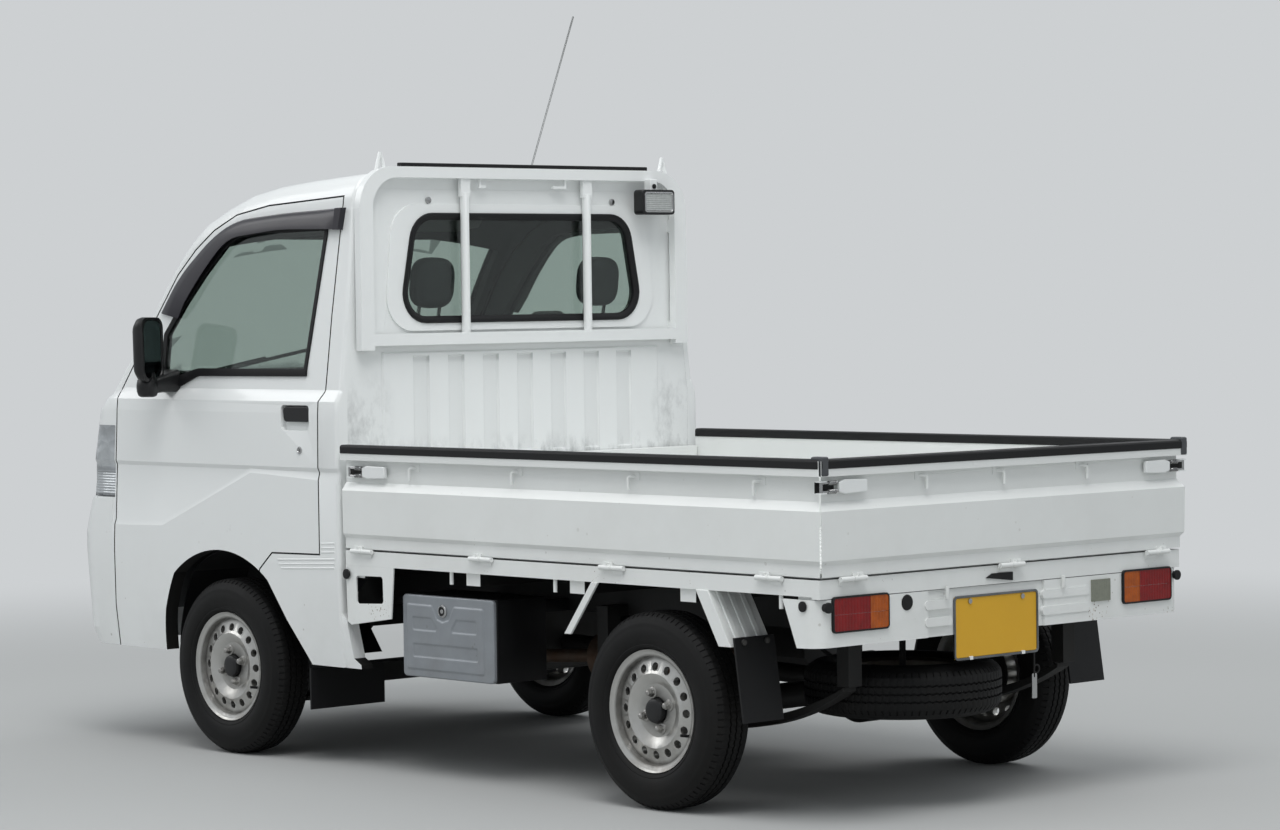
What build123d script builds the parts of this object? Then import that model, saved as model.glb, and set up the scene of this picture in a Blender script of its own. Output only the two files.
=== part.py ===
from build123d import *
from math import pi, sin
import os

# A kei truck with a flat drop-side bed, standing on its wheels.
# +X points forward, +Y to the truck's left and +Z up; the origin is on the ground under the middle.
os.makedirs("parts", exist_ok=True)

# Driving dimensions, in millimetres.
LENGTH = 3395.0
HALF_WIDTH = 737.5
WHEELBASE = 1900.0
REAR_OVERHANG = 671.0
HALF_TRACK = 650.0
WHEEL_R = 268.0
TYRE_W = 146.0
REAR_X = -LENGTH / 2
FRONT_X = LENGTH / 2
REAR_AXLE_X = REAR_X + REAR_OVERHANG
FRONT_AXLE_X = REAR_AXLE_X + WHEELBASE

# The cab.
CAB_REAR_X = 288.0
CAB_BASE_Z = 300.0
LOWER_WALL = 42.0
UPPER_WALL = 30.0
PANEL_GAP = 5.0
HINGE_LINE_X = 1449.0
HINGE_LINE_Y = 728.0

SIDES = (1, -1)
SIDE_NAMES = {1: "left", -1: "right"}


def save(piece, name):
    """Label a finished piece and write it to its own STEP file."""
    piece.part.label = name
    export_step(piece.part, f"parts/{name}.step")


def side_plane(y):
    """A sketch plane at that y whose local axes are X and Z; it extrudes towards -Y."""
    return Plane.XZ.offset(-y)


def slab_xz(points, y_from, y_to, radius=0.0, grow=0.0):
    """A solid with an outline in X and Z, from y_from down to y_to."""
    with BuildPart() as slab:
        with BuildSketch(side_plane(y_from)):
            with BuildLine():
                Polyline(*points, close=True)
            make_face()
            if grow:
                offset(amount=grow, kind=Kind.INTERSECTION)
            if radius:
                fillet(vertices(), radius=radius)
        extrude(amount=y_from - y_to)
    return slab.part


def slab_yz(points, x_from, x_to, radius=0.0, grow=0.0):
    """A solid with an outline in Y and Z, from x_from up to x_to."""
    with BuildPart() as slab:
        with BuildSketch(Plane.YZ.offset(x_from)):
            with BuildLine():
                Polyline(*points, close=True)
            make_face()
            if grow:
                offset(amount=grow, kind=Kind.INTERSECTION)
            if radius:
                fillet(vertices(), radius=radius)
        extrude(amount=x_to - x_from)
    return slab.part


def slab_xy(points, z_from, z_to, radius=0.0):
    """A solid with an outline in X and Y, from z_from up to z_to."""
    with BuildPart() as slab:
        with BuildSketch(Plane.XY.offset(z_from)):
            with BuildLine():
                Polyline(*points, close=True)
            make_face()
            if radius:
                fillet(vertices(), radius=radius)
        extrude(amount=z_to - z_from)
    return slab.part


def block(x0, x1, y0, y1, z0, z1):
    """A plain box from its low and high corners."""
    solid = Box(x1 - x0, y1 - y0, z1 - z0, mode=Mode.PRIVATE)
    return Pos((x0 + x1) / 2, (y0 + y1) / 2, (z0 + z1) / 2) * solid


def rod(start, end, radius):
    """A round bar between two points."""
    line = Vector(*end) - Vector(*start)
    low_end = (Align.CENTER, Align.CENTER, Align.MIN)
    bar = Cylinder(radius, line.length, align=low_end, mode=Mode.PRIVATE)
    return Plane(origin=start, z_dir=line) * bar


def to_side(shape, side):
    """The shape itself on the left, or its mirror image on the right."""
    return shape if side > 0 else mirror(shape, about=Plane.XZ, mode=Mode.PRIVATE)


# The cab's outer skin: below the belt a loft through level sections, above it one through
# upright sections across the truck.
LOWER_CAB = [  # height, half width, front x
    (300, 704, 1636),
    (430, 721, 1642),
    (600, 726, 1648),
    (876, 726, 1643),
    (888, 732, 1641),
    (1049, 732, 1604),
    (1084, 730, 1568),
    (1118, 712, 1513),
]
BUMPER = [  # height, half width, front x
    (300, 708, 1668),
    (352, 718, 1690),
    (600, 731, FRONT_X),
    (656, 731, FRONT_X),
    (768, 727, 1664),
]
FLARE = 5.0
FLARE_TAPER = -74
FRONT_BOW = 48.0
FRONT_CORNER_R = 110.0
SIDE_SLOPE = 0.105
GLASSHOUSE_FOOT_Z = 940.0
GLASSHOUSE_FOOT_Y = 730.3
GLASSHOUSE = [  # x, centre height, edge drop, corner radius, cosine of the slope
    (CAB_REAR_X, 1776, 18, 85, 1.0),
    (560, 1763, 20, 84, 1.0),
    (700, 1754, 22, 82, 0.99),
    (830, 1736, 25, 80, 0.97),
    (930, 1709, 30, 76, 0.95),
    (1031, 1673, 38, 70, 0.9),
    (1080, 1648, 50, 64, 0.8),
    (1130, 1611, 62, 58, 0.7),
    (1176, 1565, 74, 52, 0.6),
    (1350, 1332, 78, 45, 0.595),
    (1513, 1113, 78, 24, 0.595),
]


def lower_cab(inset, rows=LOWER_CAB, rear=CAB_REAR_X):
    """A body lofted through level sections and drawn in by the inset; a hollow's tool reaches lower."""
    if inset > 0:
        rows = [(CAB_BASE_Z - 60, rows[0][1], rows[0][2])] + rows
    with BuildPart() as body:
        for z, half_width, front in rows:
            half = half_width - inset
            nose = front - inset * 1.15
            with BuildSketch(Plane.XY.offset(z)):
                with BuildLine():
                    Polyline(
                        (nose - FRONT_BOW, half),
                        (rear + inset, half),
                        (rear + inset, -half),
                        (nose - FRONT_BOW, -half),
                    )
                    ThreePointArc((nose - FRONT_BOW, -half), (nose, 0), (nose - FRONT_BOW, half))
                make_face()
                corners = [v for v in vertices() if v.X > CAB_REAR_X + 200]
                fillet(corners, radius=FRONT_CORNER_R - inset)
        loft(ruled=True)
    return body.part


def flank_y(z):
    """Half width of the glasshouse side at height z."""
    return GLASSHOUSE_FOOT_Y - SIDE_SLOPE * (z - GLASSHOUSE_FOOT_Z)


def glasshouse(inset):
    """The cab above the belt, drawn in by the inset."""
    with BuildPart() as body:
        for x, top, drop, radius, slope in GLASSHOUSE:
            shift = inset if x == GLASSHOUSE[0][0] else 0
            crown = top - inset / slope
            edge = crown - drop
            r = max(radius - inset, 12)
            low = edge - r
            base = flank_y(GLASSHOUSE_FOOT_Z) - inset
            knee = flank_y(low) - inset
            shoulder = knee - r
            mid_y = shoulder + r * sin(pi / 4)
            mid_z = low + r * sin(pi / 4)
            with BuildSketch(Plane.YZ.offset(x + shift)):
                with BuildLine():
                    Polyline(
                        (-knee, low),
                        (-base, GLASSHOUSE_FOOT_Z),
                        (base, GLASSHOUSE_FOOT_Z),
                        (knee, low),
                    )
                    ThreePointArc((knee, low), (mid_y, mid_z), (shoulder, edge))
                    ThreePointArc((shoulder, edge), (0, crown), (-shoulder, edge))
                    ThreePointArc((-shoulder, edge), (-mid_y, mid_z), (-knee, low))
                make_face()
        loft(ruled=True)
    return body.part


# Outlines in the side view, forward and up.
DOOR_OUTLINE = [
    (1442, 290),
    (1434, 640),
    (1408, 1000),
    (1402, 1114),
    (1245, 1335),
    (1145, 1468),
    (1058, 1546),
    (970, 1603),
    (860, 1648),
    (700, 1672),
    (336, 1690),
    (356, 1340),
    (362, 1112),
    (376, 1085),
    (380, 876),
    (380, 632),
    (612, 628),
    (676, 576),
    (720, 290),
]
WINDOW_OUTLINE = [
    (462, 1166),
    (400, 1604),
    (726, 1602),
    (850, 1590),
    (922, 1552),
    (1022, 1467),
    (1112, 1377),
    (1190, 1284),
    (1192, 1135),
    (1118, 1126),
    (1000, 1165),
]
SCREEN_OUTLINE = [(-645, 1150), (645, 1150), (596, 1592), (-596, 1592)]
REAR_WINDOW = [(-486, 1320), (486, 1320), (427, 1631), (-427, 1631)]
WINDOW_SURROUND = [(-548, 1288), (548, 1288), (512, 1667), (-512, 1667)]
REAR_PAD = [(-560, 690), (560, 690), (560, 1227), (-560, 1227)]
ROOF_SEAM = [(200, 1714), (800, 1694), (960, 1650), (1060, 1604), (1300, 1600), (1300, 1900), (200, 1900)]
ARCH_TOP_Z = 626.0
FLARE_LINE = [(1750, 640), (1168, 652), (950, 735), (706, 828), (200, 806), (200, 200), (1750, 200)]


def front_arch(grow):
    """The opening over the left front wheel, cut through the cab's side."""
    with BuildPart() as arch:
        with BuildSketch(side_plane(820)):
            with BuildLine():
                Polyline((400 - grow, 200), (456 - grow, 308), (640 - grow, 545))
                ThreePointArc((640 - grow, 545), (880, ARCH_TOP_Z + grow), (1118 + grow, 545))
                ThreePointArc((1118 + grow, 545), (1172 + grow, 420), (1191 + grow, 306))
                Polyline((1191 + grow, 306), (1191 + grow, 200), (400 - grow, 200))
            make_face()
        extrude(amount=400)
    return arch.part


REAR_CORNER_R = 12.0
GROOVE_DEPTH = 2.5
SILL_GROOVES = [(606, 611, 602), (592, 597, 602), (628, 633, 374), (645, 650, 374), (662, 667, 374)]  # low, high, front x
DECK_Z = 652.0
SCREEN_CORNER_R = 45.0
REAR_WINDOW_R = 80.0
SURROUND_R = 100.0
PAD_RISE = 6.0
CHANNEL_COUNT = 7
CHANNEL_PITCH = 137.0
CHANNEL_WIDTH = 62.0
CHANNEL_BASE_Z = 915.0
CHANNEL_TOP_Z = 1214.0
REAR_PANEL_OUTLINE = [(-690, 500), (690, 500), (690, 1085), (606, 1800), (-606, 1800), (-690, 1085)]
BUMPER_TOP_Z = 768.0
LAMP_INNER_Y = 430.0
LAMP_OUTLINE = [(1415, 999), (1800, 999), (1800, 771), (1434, 771)]
SILL_END = [(300, 600), (345, 600), (345, 300), (222, 300), (222, 312), (252, 330), (266, 440), (300, 474)]

HANDLE_POCKET = [(556, 1073), (420, 1073), (420, 997), (556, 997)]
HANDLE_POCKET_Y = 714.0

# Inside the cab.
FLOOR_HALF = 676.0
FLOOR_OUTLINE = [
    (CAB_REAR_X, DECK_Z - 12),
    (1190, DECK_Z - 12),
    (1190, 430),
    (1700, 430),
    (1700, 442),
    (1202, 442),
    (1202, DECK_Z),
    (CAB_REAR_X, DECK_Z),
]
DASH_HALF = 674.0
DASH_OUTLINE = [(1345, 690), (1700, 690), (1700, 1080), (1330, 1085), (1285, 1020), (1300, 880)]
COLUMN_TOP = (1115.0, -345.0, 1075.0)
COLUMN_DIR = (-0.6, 0.0, 0.8)
STEERING_R = 180.0
SEAT_PLACES = (291.0, -385.0)
SEAT_CUSHION = [(420, 655), (900, 655), (915, 790), (880, 815), (480, 780), (420, 780)]
SEAT_BACK = [(420, 700), (530, 700), (540, 800), (470, 1290), (430, 1330), (375, 1320), (372, 1200)]
HEADREST = [(352, 1350), (400, 1350), (388, 1512), (345, 1512)]

# The guard frame and the chassis.
GUARD_X = 252.0
GUARD_T = 26.0
GUARD_HALF = 660.0
GUARD_POST_W = 50.0
GUARD_TUBE_H = 33.0
GUARD_FOOT_Z = 1233.0
GUARD_RAIL_BASE_Z = 1246.0
GUARD_RAIL_TOP_Z = 1281.0
GUARD_TOP_Z = 1777.0
GUARD_PAD_Z = 1787.0
GUARD_PAD_HALF = 497.0
GUARD_CORNER_R = 125.0
GUARD_BAR_Y = 247.0
GUARD_BAR_R = 13.5
GUARD_HOOK_Y = 570.0
CARGO_HOOKS = ((185, 163), (-159, -108))
RAIL_Y = 350.0
RAIL_BASE_Z = 480.0
RAIL_TOP_Z = 570.0
FRONT_RAIL_BASE_Z = 330.0
RAIL_OUTLINE = [
    (-1660, RAIL_TOP_Z),
    (560, RAIL_TOP_Z),
    (720, 415),
    (1480, 415),
    (1480, FRONT_RAIL_BASE_Z),
    (690, FRONT_RAIL_BASE_Z),
    (530, RAIL_BASE_Z),
    (-1660, RAIL_BASE_Z),
]
CHASSIS_CROSS = (-1620, -1400, -1180, -740, -300, 110)
BED_CROSS = (-1620, -1180, -740, -300, 220)
SPRING_HALF = 470.0
SPRING_Y = 430.0
SPRING_EYE_Z = 330.0
SPRING_FRONT = (REAR_AXLE_X + SPRING_HALF, SPRING_EYE_Z)
SPRING_MID = (REAR_AXLE_X, 202.0)
SPRING_REAR = (REAR_AXLE_X - SPRING_HALF, SPRING_EYE_Z)
DIFF_Y = -120.0
BACKPLATE_Y = 620.0
BACKPLATE_R = 95.0
STUB_R = 14.0
KINGPIN_LOW_Y = 600.0
KINGPIN_LOW_Z = 190.0
KINGPIN_SLOPE = 80.0 / 450.0
CARRIER = [(588, 195), (615, 195), (615, 345), (556, 345), (566, 300), (572, 262)]
SPARE_X = -1398.5
SPARE_Y = 120.0
SPARE_Z = 318.0

# The wheel sections: radius and distance outwards from the middle plane.
RIM_SECTION = [
    (30, 30),
    (38, 36),
    (72, 36),
    (88, 45),
    (101, 50),
    (108, 45),
    (146, 36),
    (149, 51),
    (160, 55),
    (166, 59),
    (166, 53),
    (152.5, 48),
    (152, 26),
    (136, 14),
    (136, -10),
    (152, -24),
    (152.5, -48),
    (166, -53),
    (166, -59),
    (149, -51),
    (146, -28),
    (130, -14),
    (130, 20),
    (86, 37),
    (72, 28),
]
RIM_HOLE_RING = 119.0
RIM_HOLE_R = 11.5
RIM_SPACER_R = 92.0
HUB_CAP_R = 31.0
NUT_RING = 50.0
NUT_R = 11.0
TYRE_SECTION = [  # radius, outwards
    (153, 47),
    (166.5, 52),
    (172, 62),
    (186, 70),
    (214, 73),
    (240, 66),
    (258, 54),
    (266, 43),
    (268, 28),
]

# The bed.
BED_FRONT_X = 278.0
BOARD_REAR_X = 252.0
BOARD_TOP_Z = 905.0
FLOOR_Z = 665.0
BED_BASE_Z = 650.0
BED_HALF = 696.0
GROOVE_COUNT = 11
GROOVE_PITCH = 118.0
GATE_DEPTH = 35.5
GATE_FRONT_X = 265.0
GATE_SECTION = [  # distance from the middle, height
    (702, 656),
    (722, 656),
    (722, 687),
    (731, 699),
    (733, 826),
    (716, 850),
    (716, 915),
    (737.5, 915),
    (737.5, 955),
    (702, 955),
]
SILL_Y = 722.0
SILL_TOP_Z = 650.0
SILL_BASE_Z = 606.0
HINGE_Y = 730.0
HINGE_Z = 649.0
HINGE_X = REAR_X + 7.5
HINGE_R = 7.0
HINGE_HALF = 48.0
HINGE_PLAY = 1.0
SIDE_HINGES = (181.5, -353.5, -899.5, -1501.5)
TAIL_HINGES = (0.0, 611.0, -611.0)
HOOK_Y = 728.0
HOOK_R = 5.0
SIDE_LATCH = [(70, 868), (216, 862), (216, 900), (160, 900), (70, 890)]
TAIL_LATCH = [(562, 876), (700, 868), (700, 907), (640, 907), (562, 899)]
SIDE_ROPE_HOOKS = (-40.5, -488.5, -968.0, -1446.0)
TAIL_ROPE_HOOKS = (328.0, 25.0, -315.0)
REAR_PANEL_X = -1676.0
REAR_PANEL_SIDE = [
    (REAR_PANEL_X, 598),
    (REAR_PANEL_X, 475),
    (-1596, 473),
    (-1546, 598),
]
REAR_PANEL_R = 42.0
RECESS_Y = (-150, 320)
REAR_RIB_Z = (515, 560)
REAR_RIB_ENDS = ((225, 330), (-330, -135))
REAR_RIB_RISE = 3.0
PLATE_X = -1669.0
PLATE_Y = 44.0
SIDE_PANEL = [(46, 606), (268, 606), (262, 440), (245, 431), (60, 457)]
SIDE_PANEL_HOLE = [(95, 500), (218, 494), (220, 576), (97, 578)]
REAR_FLAP = [(-1359, 485), (-1365, 485), (-1398, 263), (-1392, 263)]
LINER_T = 5.0
LINER_Y = (436, 655)
UNDER_PINS = (-205.5, -650.0, -1528.5)
TOOLBOX_X = (-368, 38)
TOOLBOX_Y = (500, 684)
TOOLBOX_Z = (294, 531)
LID_FACE_Y = 700.0
LID_DIP = 3.0
LID_POCKETS = [
    [(-340, 512), (-185, 512), (-205, 462), (-236, 448), (-340, 448)],
    [(10, 512), (-145, 512), (-125, 462), (-94, 448), (10, 448)],
    [(-340, 372), (10, 372), (10, 318), (-340, 318)],
    [(-340, 434), (-240, 434), (-205, 420), (-125, 420), (-90, 434), (10, 434), (10, 386), (-340, 386)],
]


def along_column(distance):
    """A point on the steering column's axis, that far above the wheel's centre."""
    return tuple(p + d * distance for p, d in zip(COLUMN_TOP, COLUMN_DIR))


def kingpin(z):
    """The point on the left steering axis at height z."""
    return (FRONT_AXLE_X, KINGPIN_LOW_Y - KINGPIN_SLOPE * (z - KINGPIN_LOW_Z), z)


def mitre_cut(shift):
    """The quarter outside the 45 degree corner line of a side gate, moved forward by the shift."""
    far = 3000.0
    x = REAR_X + shift * 1.41421
    return slab_xy(
        [(x - 200, HALF_WIDTH + 200), (x + 200, HALF_WIDTH - 200), (x + 200, -far), (x - 200, -far)], 0, 1200
    )

# The whole cab shell, then the panels it is split into.
with BuildPart() as flare_side:
    with BuildSketch(side_plane(742)):
        with BuildLine():
            Polyline(*FLARE_LINE, close=True)
        make_face()
    extrude(amount=60, taper=FLARE_TAPER)
flare = lower_cab(0, rows=[(z, half + FLARE, front) for z, half, front in LOWER_CAB])
flare = flare & (flare_side.part + mirror(flare_side.part, about=Plane.XZ))
outer = lower_cab(0) + glasshouse(0) + flare
rear_edges = [e for e in outer.edges() if e.bounding_box().size.X < 0.5 and e.center().X < CAB_REAR_X + 0.5]
outer = fillet(rear_edges, REAR_CORNER_R)
inner = lower_cab(LOWER_WALL) + glasshouse(UPPER_WALL)
shell = outer - inner
arch_cut = front_arch(0)
under_deck = block(CAB_REAR_X - 10, CAB_REAR_X + LOWER_WALL + 10, -676, 676, 200, DECK_Z - 12)
screen_cut = slab_yz(SCREEN_OUTLINE, 1100, 1700, radius=SCREEN_CORNER_R)
rear_window_cut = slab_yz(REAR_WINDOW, 250, 400, radius=REAR_WINDOW_R)
fixed_shell = shell - arch_cut - mirror(arch_cut, about=Plane.XZ) - under_deck - screen_cut - rear_window_cut
for side in SIDES:
    fixed_shell -= to_side(slab_xz(DOOR_OUTLINE, 800, 560, grow=PANEL_GAP / 2), side)

bumper_zone = block(HINGE_LINE_X, 1800, -800, 800, 200, BUMPER_TOP_Z)
lamp_zone = slab_xz(LAMP_OUTLINE, 800, LAMP_INNER_Y) + slab_xz(LAMP_OUTLINE, -LAMP_INNER_Y, -800)
roof_zone = slab_xz(ROOF_SEAM, 800, -800)
rear_zone = slab_yz(REAR_PANEL_OUTLINE, 200, CAB_REAR_X + LOWER_WALL + 1)
sill_ends = lower_cab(0, rear=200) - lower_cab(LOWER_WALL, rear=100)
sill_ends = sill_ends & slab_xz(SILL_END, 800, -800)
front_zone = block(900, 1800, -800, 800, 200, 1800)
sill_skin = lower_cab(0, rear=200) - lower_cab(GROOVE_DEPTH, rear=100)
sill_grooves = block(328, 602, -800, 800, 606, 611)
for low, high, front in SILL_GROOVES[1:]:
    sill_grooves += block(328, front, -800, 800, low, high)

with BuildPart() as roof_panel:
    add(fixed_shell)
    add(roof_zone, mode=Mode.INTERSECT)
save(roof_panel, "roof_panel")

with BuildPart() as rear_pads:
    with BuildSketch(Plane.YZ.offset(CAB_REAR_X - PAD_RISE)):
        with BuildLine():
            Polyline(*WINDOW_SURROUND, close=True)
        make_face()
        fillet(vertices(), radius=SURROUND_R)
        with BuildLine():
            Polyline(*REAR_PAD, close=True)
        make_face()
    extrude(amount=PAD_RISE)
    pad_edges = faces().sort_by(Axis.X)[0].edges()
    chamfer(pad_edges, length=PAD_RISE - 1)
    with BuildSketch(Plane.YZ.offset(CAB_REAR_X - PAD_RISE)):
        with Locations((0, (CHANNEL_BASE_Z + CHANNEL_TOP_Z) / 2)):
            with GridLocations(CHANNEL_PITCH, 1, CHANNEL_COUNT, 1):
                Rectangle(CHANNEL_WIDTH, CHANNEL_TOP_Z - CHANNEL_BASE_Z)
    extrude(amount=PAD_RISE, taper=40, mode=Mode.SUBTRACT)

with BuildPart() as cab_rear_panel:
    add(fixed_shell)
    add(roof_zone, mode=Mode.SUBTRACT)
    add(rear_zone, mode=Mode.INTERSECT)
    add(rear_pads.part)
    for cut in (rear_window_cut, sill_ends):
        add(cut, mode=Mode.SUBTRACT)
save(cab_rear_panel, "cab_rear_panel")

with BuildPart() as front_panel:
    add(fixed_shell)
    for zone in (roof_zone, bumper_zone, lamp_zone):
        add(zone, mode=Mode.SUBTRACT)
    add(front_zone, mode=Mode.INTERSECT)
    with BuildSketch(Plane.YZ.offset(1480)):
        with Locations((0, 838), (0, 872)):
            SlotOverall(560, 18)
    extrude(amount=300, mode=Mode.SUBTRACT)
save(front_panel, "front_panel")

with BuildPart() as cab_sides:
    add(fixed_shell)
    for zone in (roof_zone, rear_zone, front_zone):
        add(zone, mode=Mode.SUBTRACT)
    add(sill_ends)
    add(sill_skin & sill_grooves, mode=Mode.SUBTRACT)
save(cab_sides, "cab_sides")

with BuildPart() as front_bumper:
    add(lower_cab(0, rows=BUMPER))
    add(inner, mode=Mode.SUBTRACT)
    add(bumper_zone, mode=Mode.INTERSECT)
    with BuildSketch(Plane.YZ.offset(1500)):
        with Locations((0, 455)):
            RectangleRounded(760, 110, 25)
    extrude(amount=300, mode=Mode.SUBTRACT)
    with BuildSketch(Plane.YZ.offset(1500)):
        with Locations((0, 425), (0, 455), (0, 485)):
            Rectangle(780, 8)
    extrude(amount=150)
save(front_bumper, "front_bumper")

with BuildPart() as headlamps:
    add(shell)
    add(lamp_zone, mode=Mode.INTERSECT)
save(headlamps, "headlamps")

# Glass: thin skins just inside the outer surface.
glass_skin = (glasshouse(3) + lower_cab(3)) - (glasshouse(8) + lower_cab(8))
with BuildPart() as cab_glass:
    add(glass_skin)
    add(screen_cut + rear_window_cut, mode=Mode.INTERSECT)
save(cab_glass, "cab_glass")

door_zone = slab_xz(DOOR_OUTLINE, 800, 560, grow=-PANEL_GAP / 2)
window_cut = slab_xz(WINDOW_OUTLINE, 800, 560, radius=18)
for side in SIDES:
    with BuildPart() as door:
        add(to_side(shell, side))
        add(door_zone, mode=Mode.INTERSECT)
        add(window_cut, mode=Mode.SUBTRACT)
        add(arch_cut, mode=Mode.SUBTRACT)
        add(slab_xz(HANDLE_POCKET, 760, HANDLE_POCKET_Y, radius=14), mode=Mode.SUBTRACT)
        if side < 0:
            mirror(about=Plane.XZ, mode=Mode.REPLACE)
    save(door, f"door_{SIDE_NAMES[side]}")
    with BuildPart() as door_glass:
        add(to_side(glass_skin, side))
        add(window_cut, mode=Mode.INTERSECT)
        if side < 0:
            mirror(about=Plane.XZ, mode=Mode.REPLACE)
    save(door_glass, f"door_glass_{SIDE_NAMES[side]}")
    with BuildPart() as door_mirror:
        with BuildSketch(Plane.YZ.offset(1088)):
            with Locations((820, 1250)):
                RectangleRounded(130, 170, 28)
        extrude(amount=55)
        chamfer(faces().sort_by(Axis.X)[-1].edges(), length=14)
        add(rod((1132, 712, 1112), (1118, 772, 1130), 13))
        add(rod((1118, 772, 1130), (1115, 790, 1180), 13))
        add(to_side(door.part, side), mode=Mode.SUBTRACT)
        if side < 0:
            mirror(about=Plane.XZ, mode=Mode.REPLACE)
    save(door_mirror, f"mirror_{SIDE_NAMES[side]}")

with BuildPart() as cab_floor:
    add(lower_cab(LOWER_WALL + 4))
    add(slab_xz(FLOOR_OUTLINE, FLOOR_HALF, -FLOOR_HALF), mode=Mode.INTERSECT)
save(cab_floor, "cab_floor")

with BuildPart() as dashboard:
    add(lower_cab(LOWER_WALL + 4))
    add(slab_xz(DASH_OUTLINE, DASH_HALF, -DASH_HALF, radius=18), mode=Mode.INTERSECT)
    add(rod(along_column(-330), along_column(-32), 28))
save(dashboard, "dashboard")

with BuildPart() as steering_wheel:
    column_plane = Plane(origin=COLUMN_TOP, x_dir=(0, 1, 0), z_dir=COLUMN_DIR)
    with BuildSketch(Plane(origin=COLUMN_TOP, x_dir=(0, 1, 0), z_dir=column_plane.y_dir)):
        with Locations((STEERING_R, 0)):
            RegularPolygon(13, 8)
    revolve(axis=Axis(COLUMN_TOP, COLUMN_DIR))
    with BuildSketch(Plane(origin=along_column(-26), z_dir=COLUMN_DIR)):
        Circle(42)
    extrude(amount=30)
    with BuildSketch(Plane(origin=along_column(-8), z_dir=COLUMN_DIR)):
        with PolarLocations(STEERING_R / 2, 3, start_angle=180):
            Rectangle(STEERING_R, 34)
    extrude(amount=12)
save(steering_wheel, "steering_wheel")

with BuildPart() as seats:
    for y in SEAT_PLACES:
        add(slab_xz(SEAT_CUSHION, y + 225, y - 225, radius=30))
        add(slab_xz(SEAT_BACK, y + 215, y - 215, radius=30))
        add(slab_xz(HEADREST, y + 72, y - 72, radius=20))
        for offset_y in (-40, 40):
            add(rod((405, y + offset_y, 1270), (380, y + offset_y, 1400), 7))
save(seats, "seats")

# The guard frame behind the cab, with its lamp, and the aerial.
guard_mid_x = GUARD_X + GUARD_T / 2
with BuildPart() as guard_frame:
    with BuildSketch(Plane.YZ.offset(GUARD_X)):
        with Locations((0, (GUARD_FOOT_Z + GUARD_TOP_Z) / 2)):
            Rectangle(2 * GUARD_HALF, GUARD_TOP_Z - GUARD_FOOT_Z)
        fillet(vertices().group_by(Axis.Y)[-1], radius=GUARD_CORNER_R)
    extrude(amount=GUARD_T)
    with BuildSketch(Plane.YZ.offset(GUARD_X)):
        with Locations((0, (GUARD_RAIL_TOP_Z + GUARD_TOP_Z - GUARD_TUBE_H) / 2)):
            Rectangle(2 * (GUARD_HALF - GUARD_POST_W), GUARD_TOP_Z - GUARD_TUBE_H - GUARD_RAIL_TOP_Z)
        fillet(vertices().group_by(Axis.Y)[-1], radius=GUARD_CORNER_R - GUARD_TUBE_H)
        with Locations((0, (GUARD_RAIL_BASE_Z + GUARD_FOOT_Z) / 2)):
            Rectangle(2 * (GUARD_HALF - GUARD_POST_W), GUARD_RAIL_BASE_Z - GUARD_FOOT_Z)
    extrude(amount=GUARD_T, mode=Mode.SUBTRACT)
    for y in (-GUARD_BAR_Y, GUARD_BAR_Y):
        add(rod((guard_mid_x, y, GUARD_RAIL_TOP_Z - 8), (guard_mid_x, y, 1700), GUARD_BAR_R))
        add(block(guard_mid_x - 7, guard_mid_x + 7, y - 18, y + 18, 1690, GUARD_TOP_Z - 20))
    for start_y, end_y in CARGO_HOOKS:
        add(rod((guard_mid_x, start_y, 1750), (guard_mid_x, start_y, 1716), 5))
        low, high = sorted((start_y, end_y))
        add(block(guard_mid_x - 4, guard_mid_x + 4, low, high, 1716, 1725))
    for side in SIDES:
        for z in (1283, 1604):
            add(block(guard_mid_x, CAB_REAR_X, side * 625 - 14, side * 625 + 14, z - 20, z + 20))
        for offset_y in (-18, 18):
            y = side * GUARD_HOOK_Y
            add(rod((guard_mid_x, y + offset_y, GUARD_TOP_Z - 20), (guard_mid_x, y, 1818), 6))
    add(block(GUARD_X + 4, GUARD_X + GUARD_T - 4, -GUARD_PAD_HALF, GUARD_PAD_HALF, GUARD_TOP_Z, GUARD_PAD_Z))
save(guard_frame, "guard_frame")

with BuildPart() as work_lamp:
    add(block(GUARD_X - 48, GUARD_X - 6, -567, -430, 1638, 1716))
    fillet(edges().filter_by(Axis.X), radius=12)
    add(block(GUARD_X - 24, GUARD_X, -512, -485, 1700, 1748))
save(work_lamp, "work_lamp")

with BuildPart() as aerial:
    add(rod((985, -596, 1650), (979, -598, 1690), 11))
    add(rod((979, -598, 1690), (707, -600, 2295), 3))
    for panel in (roof_panel, front_panel):
        add(panel.part, mode=Mode.SUBTRACT)
save(aerial, "aerial")

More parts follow.
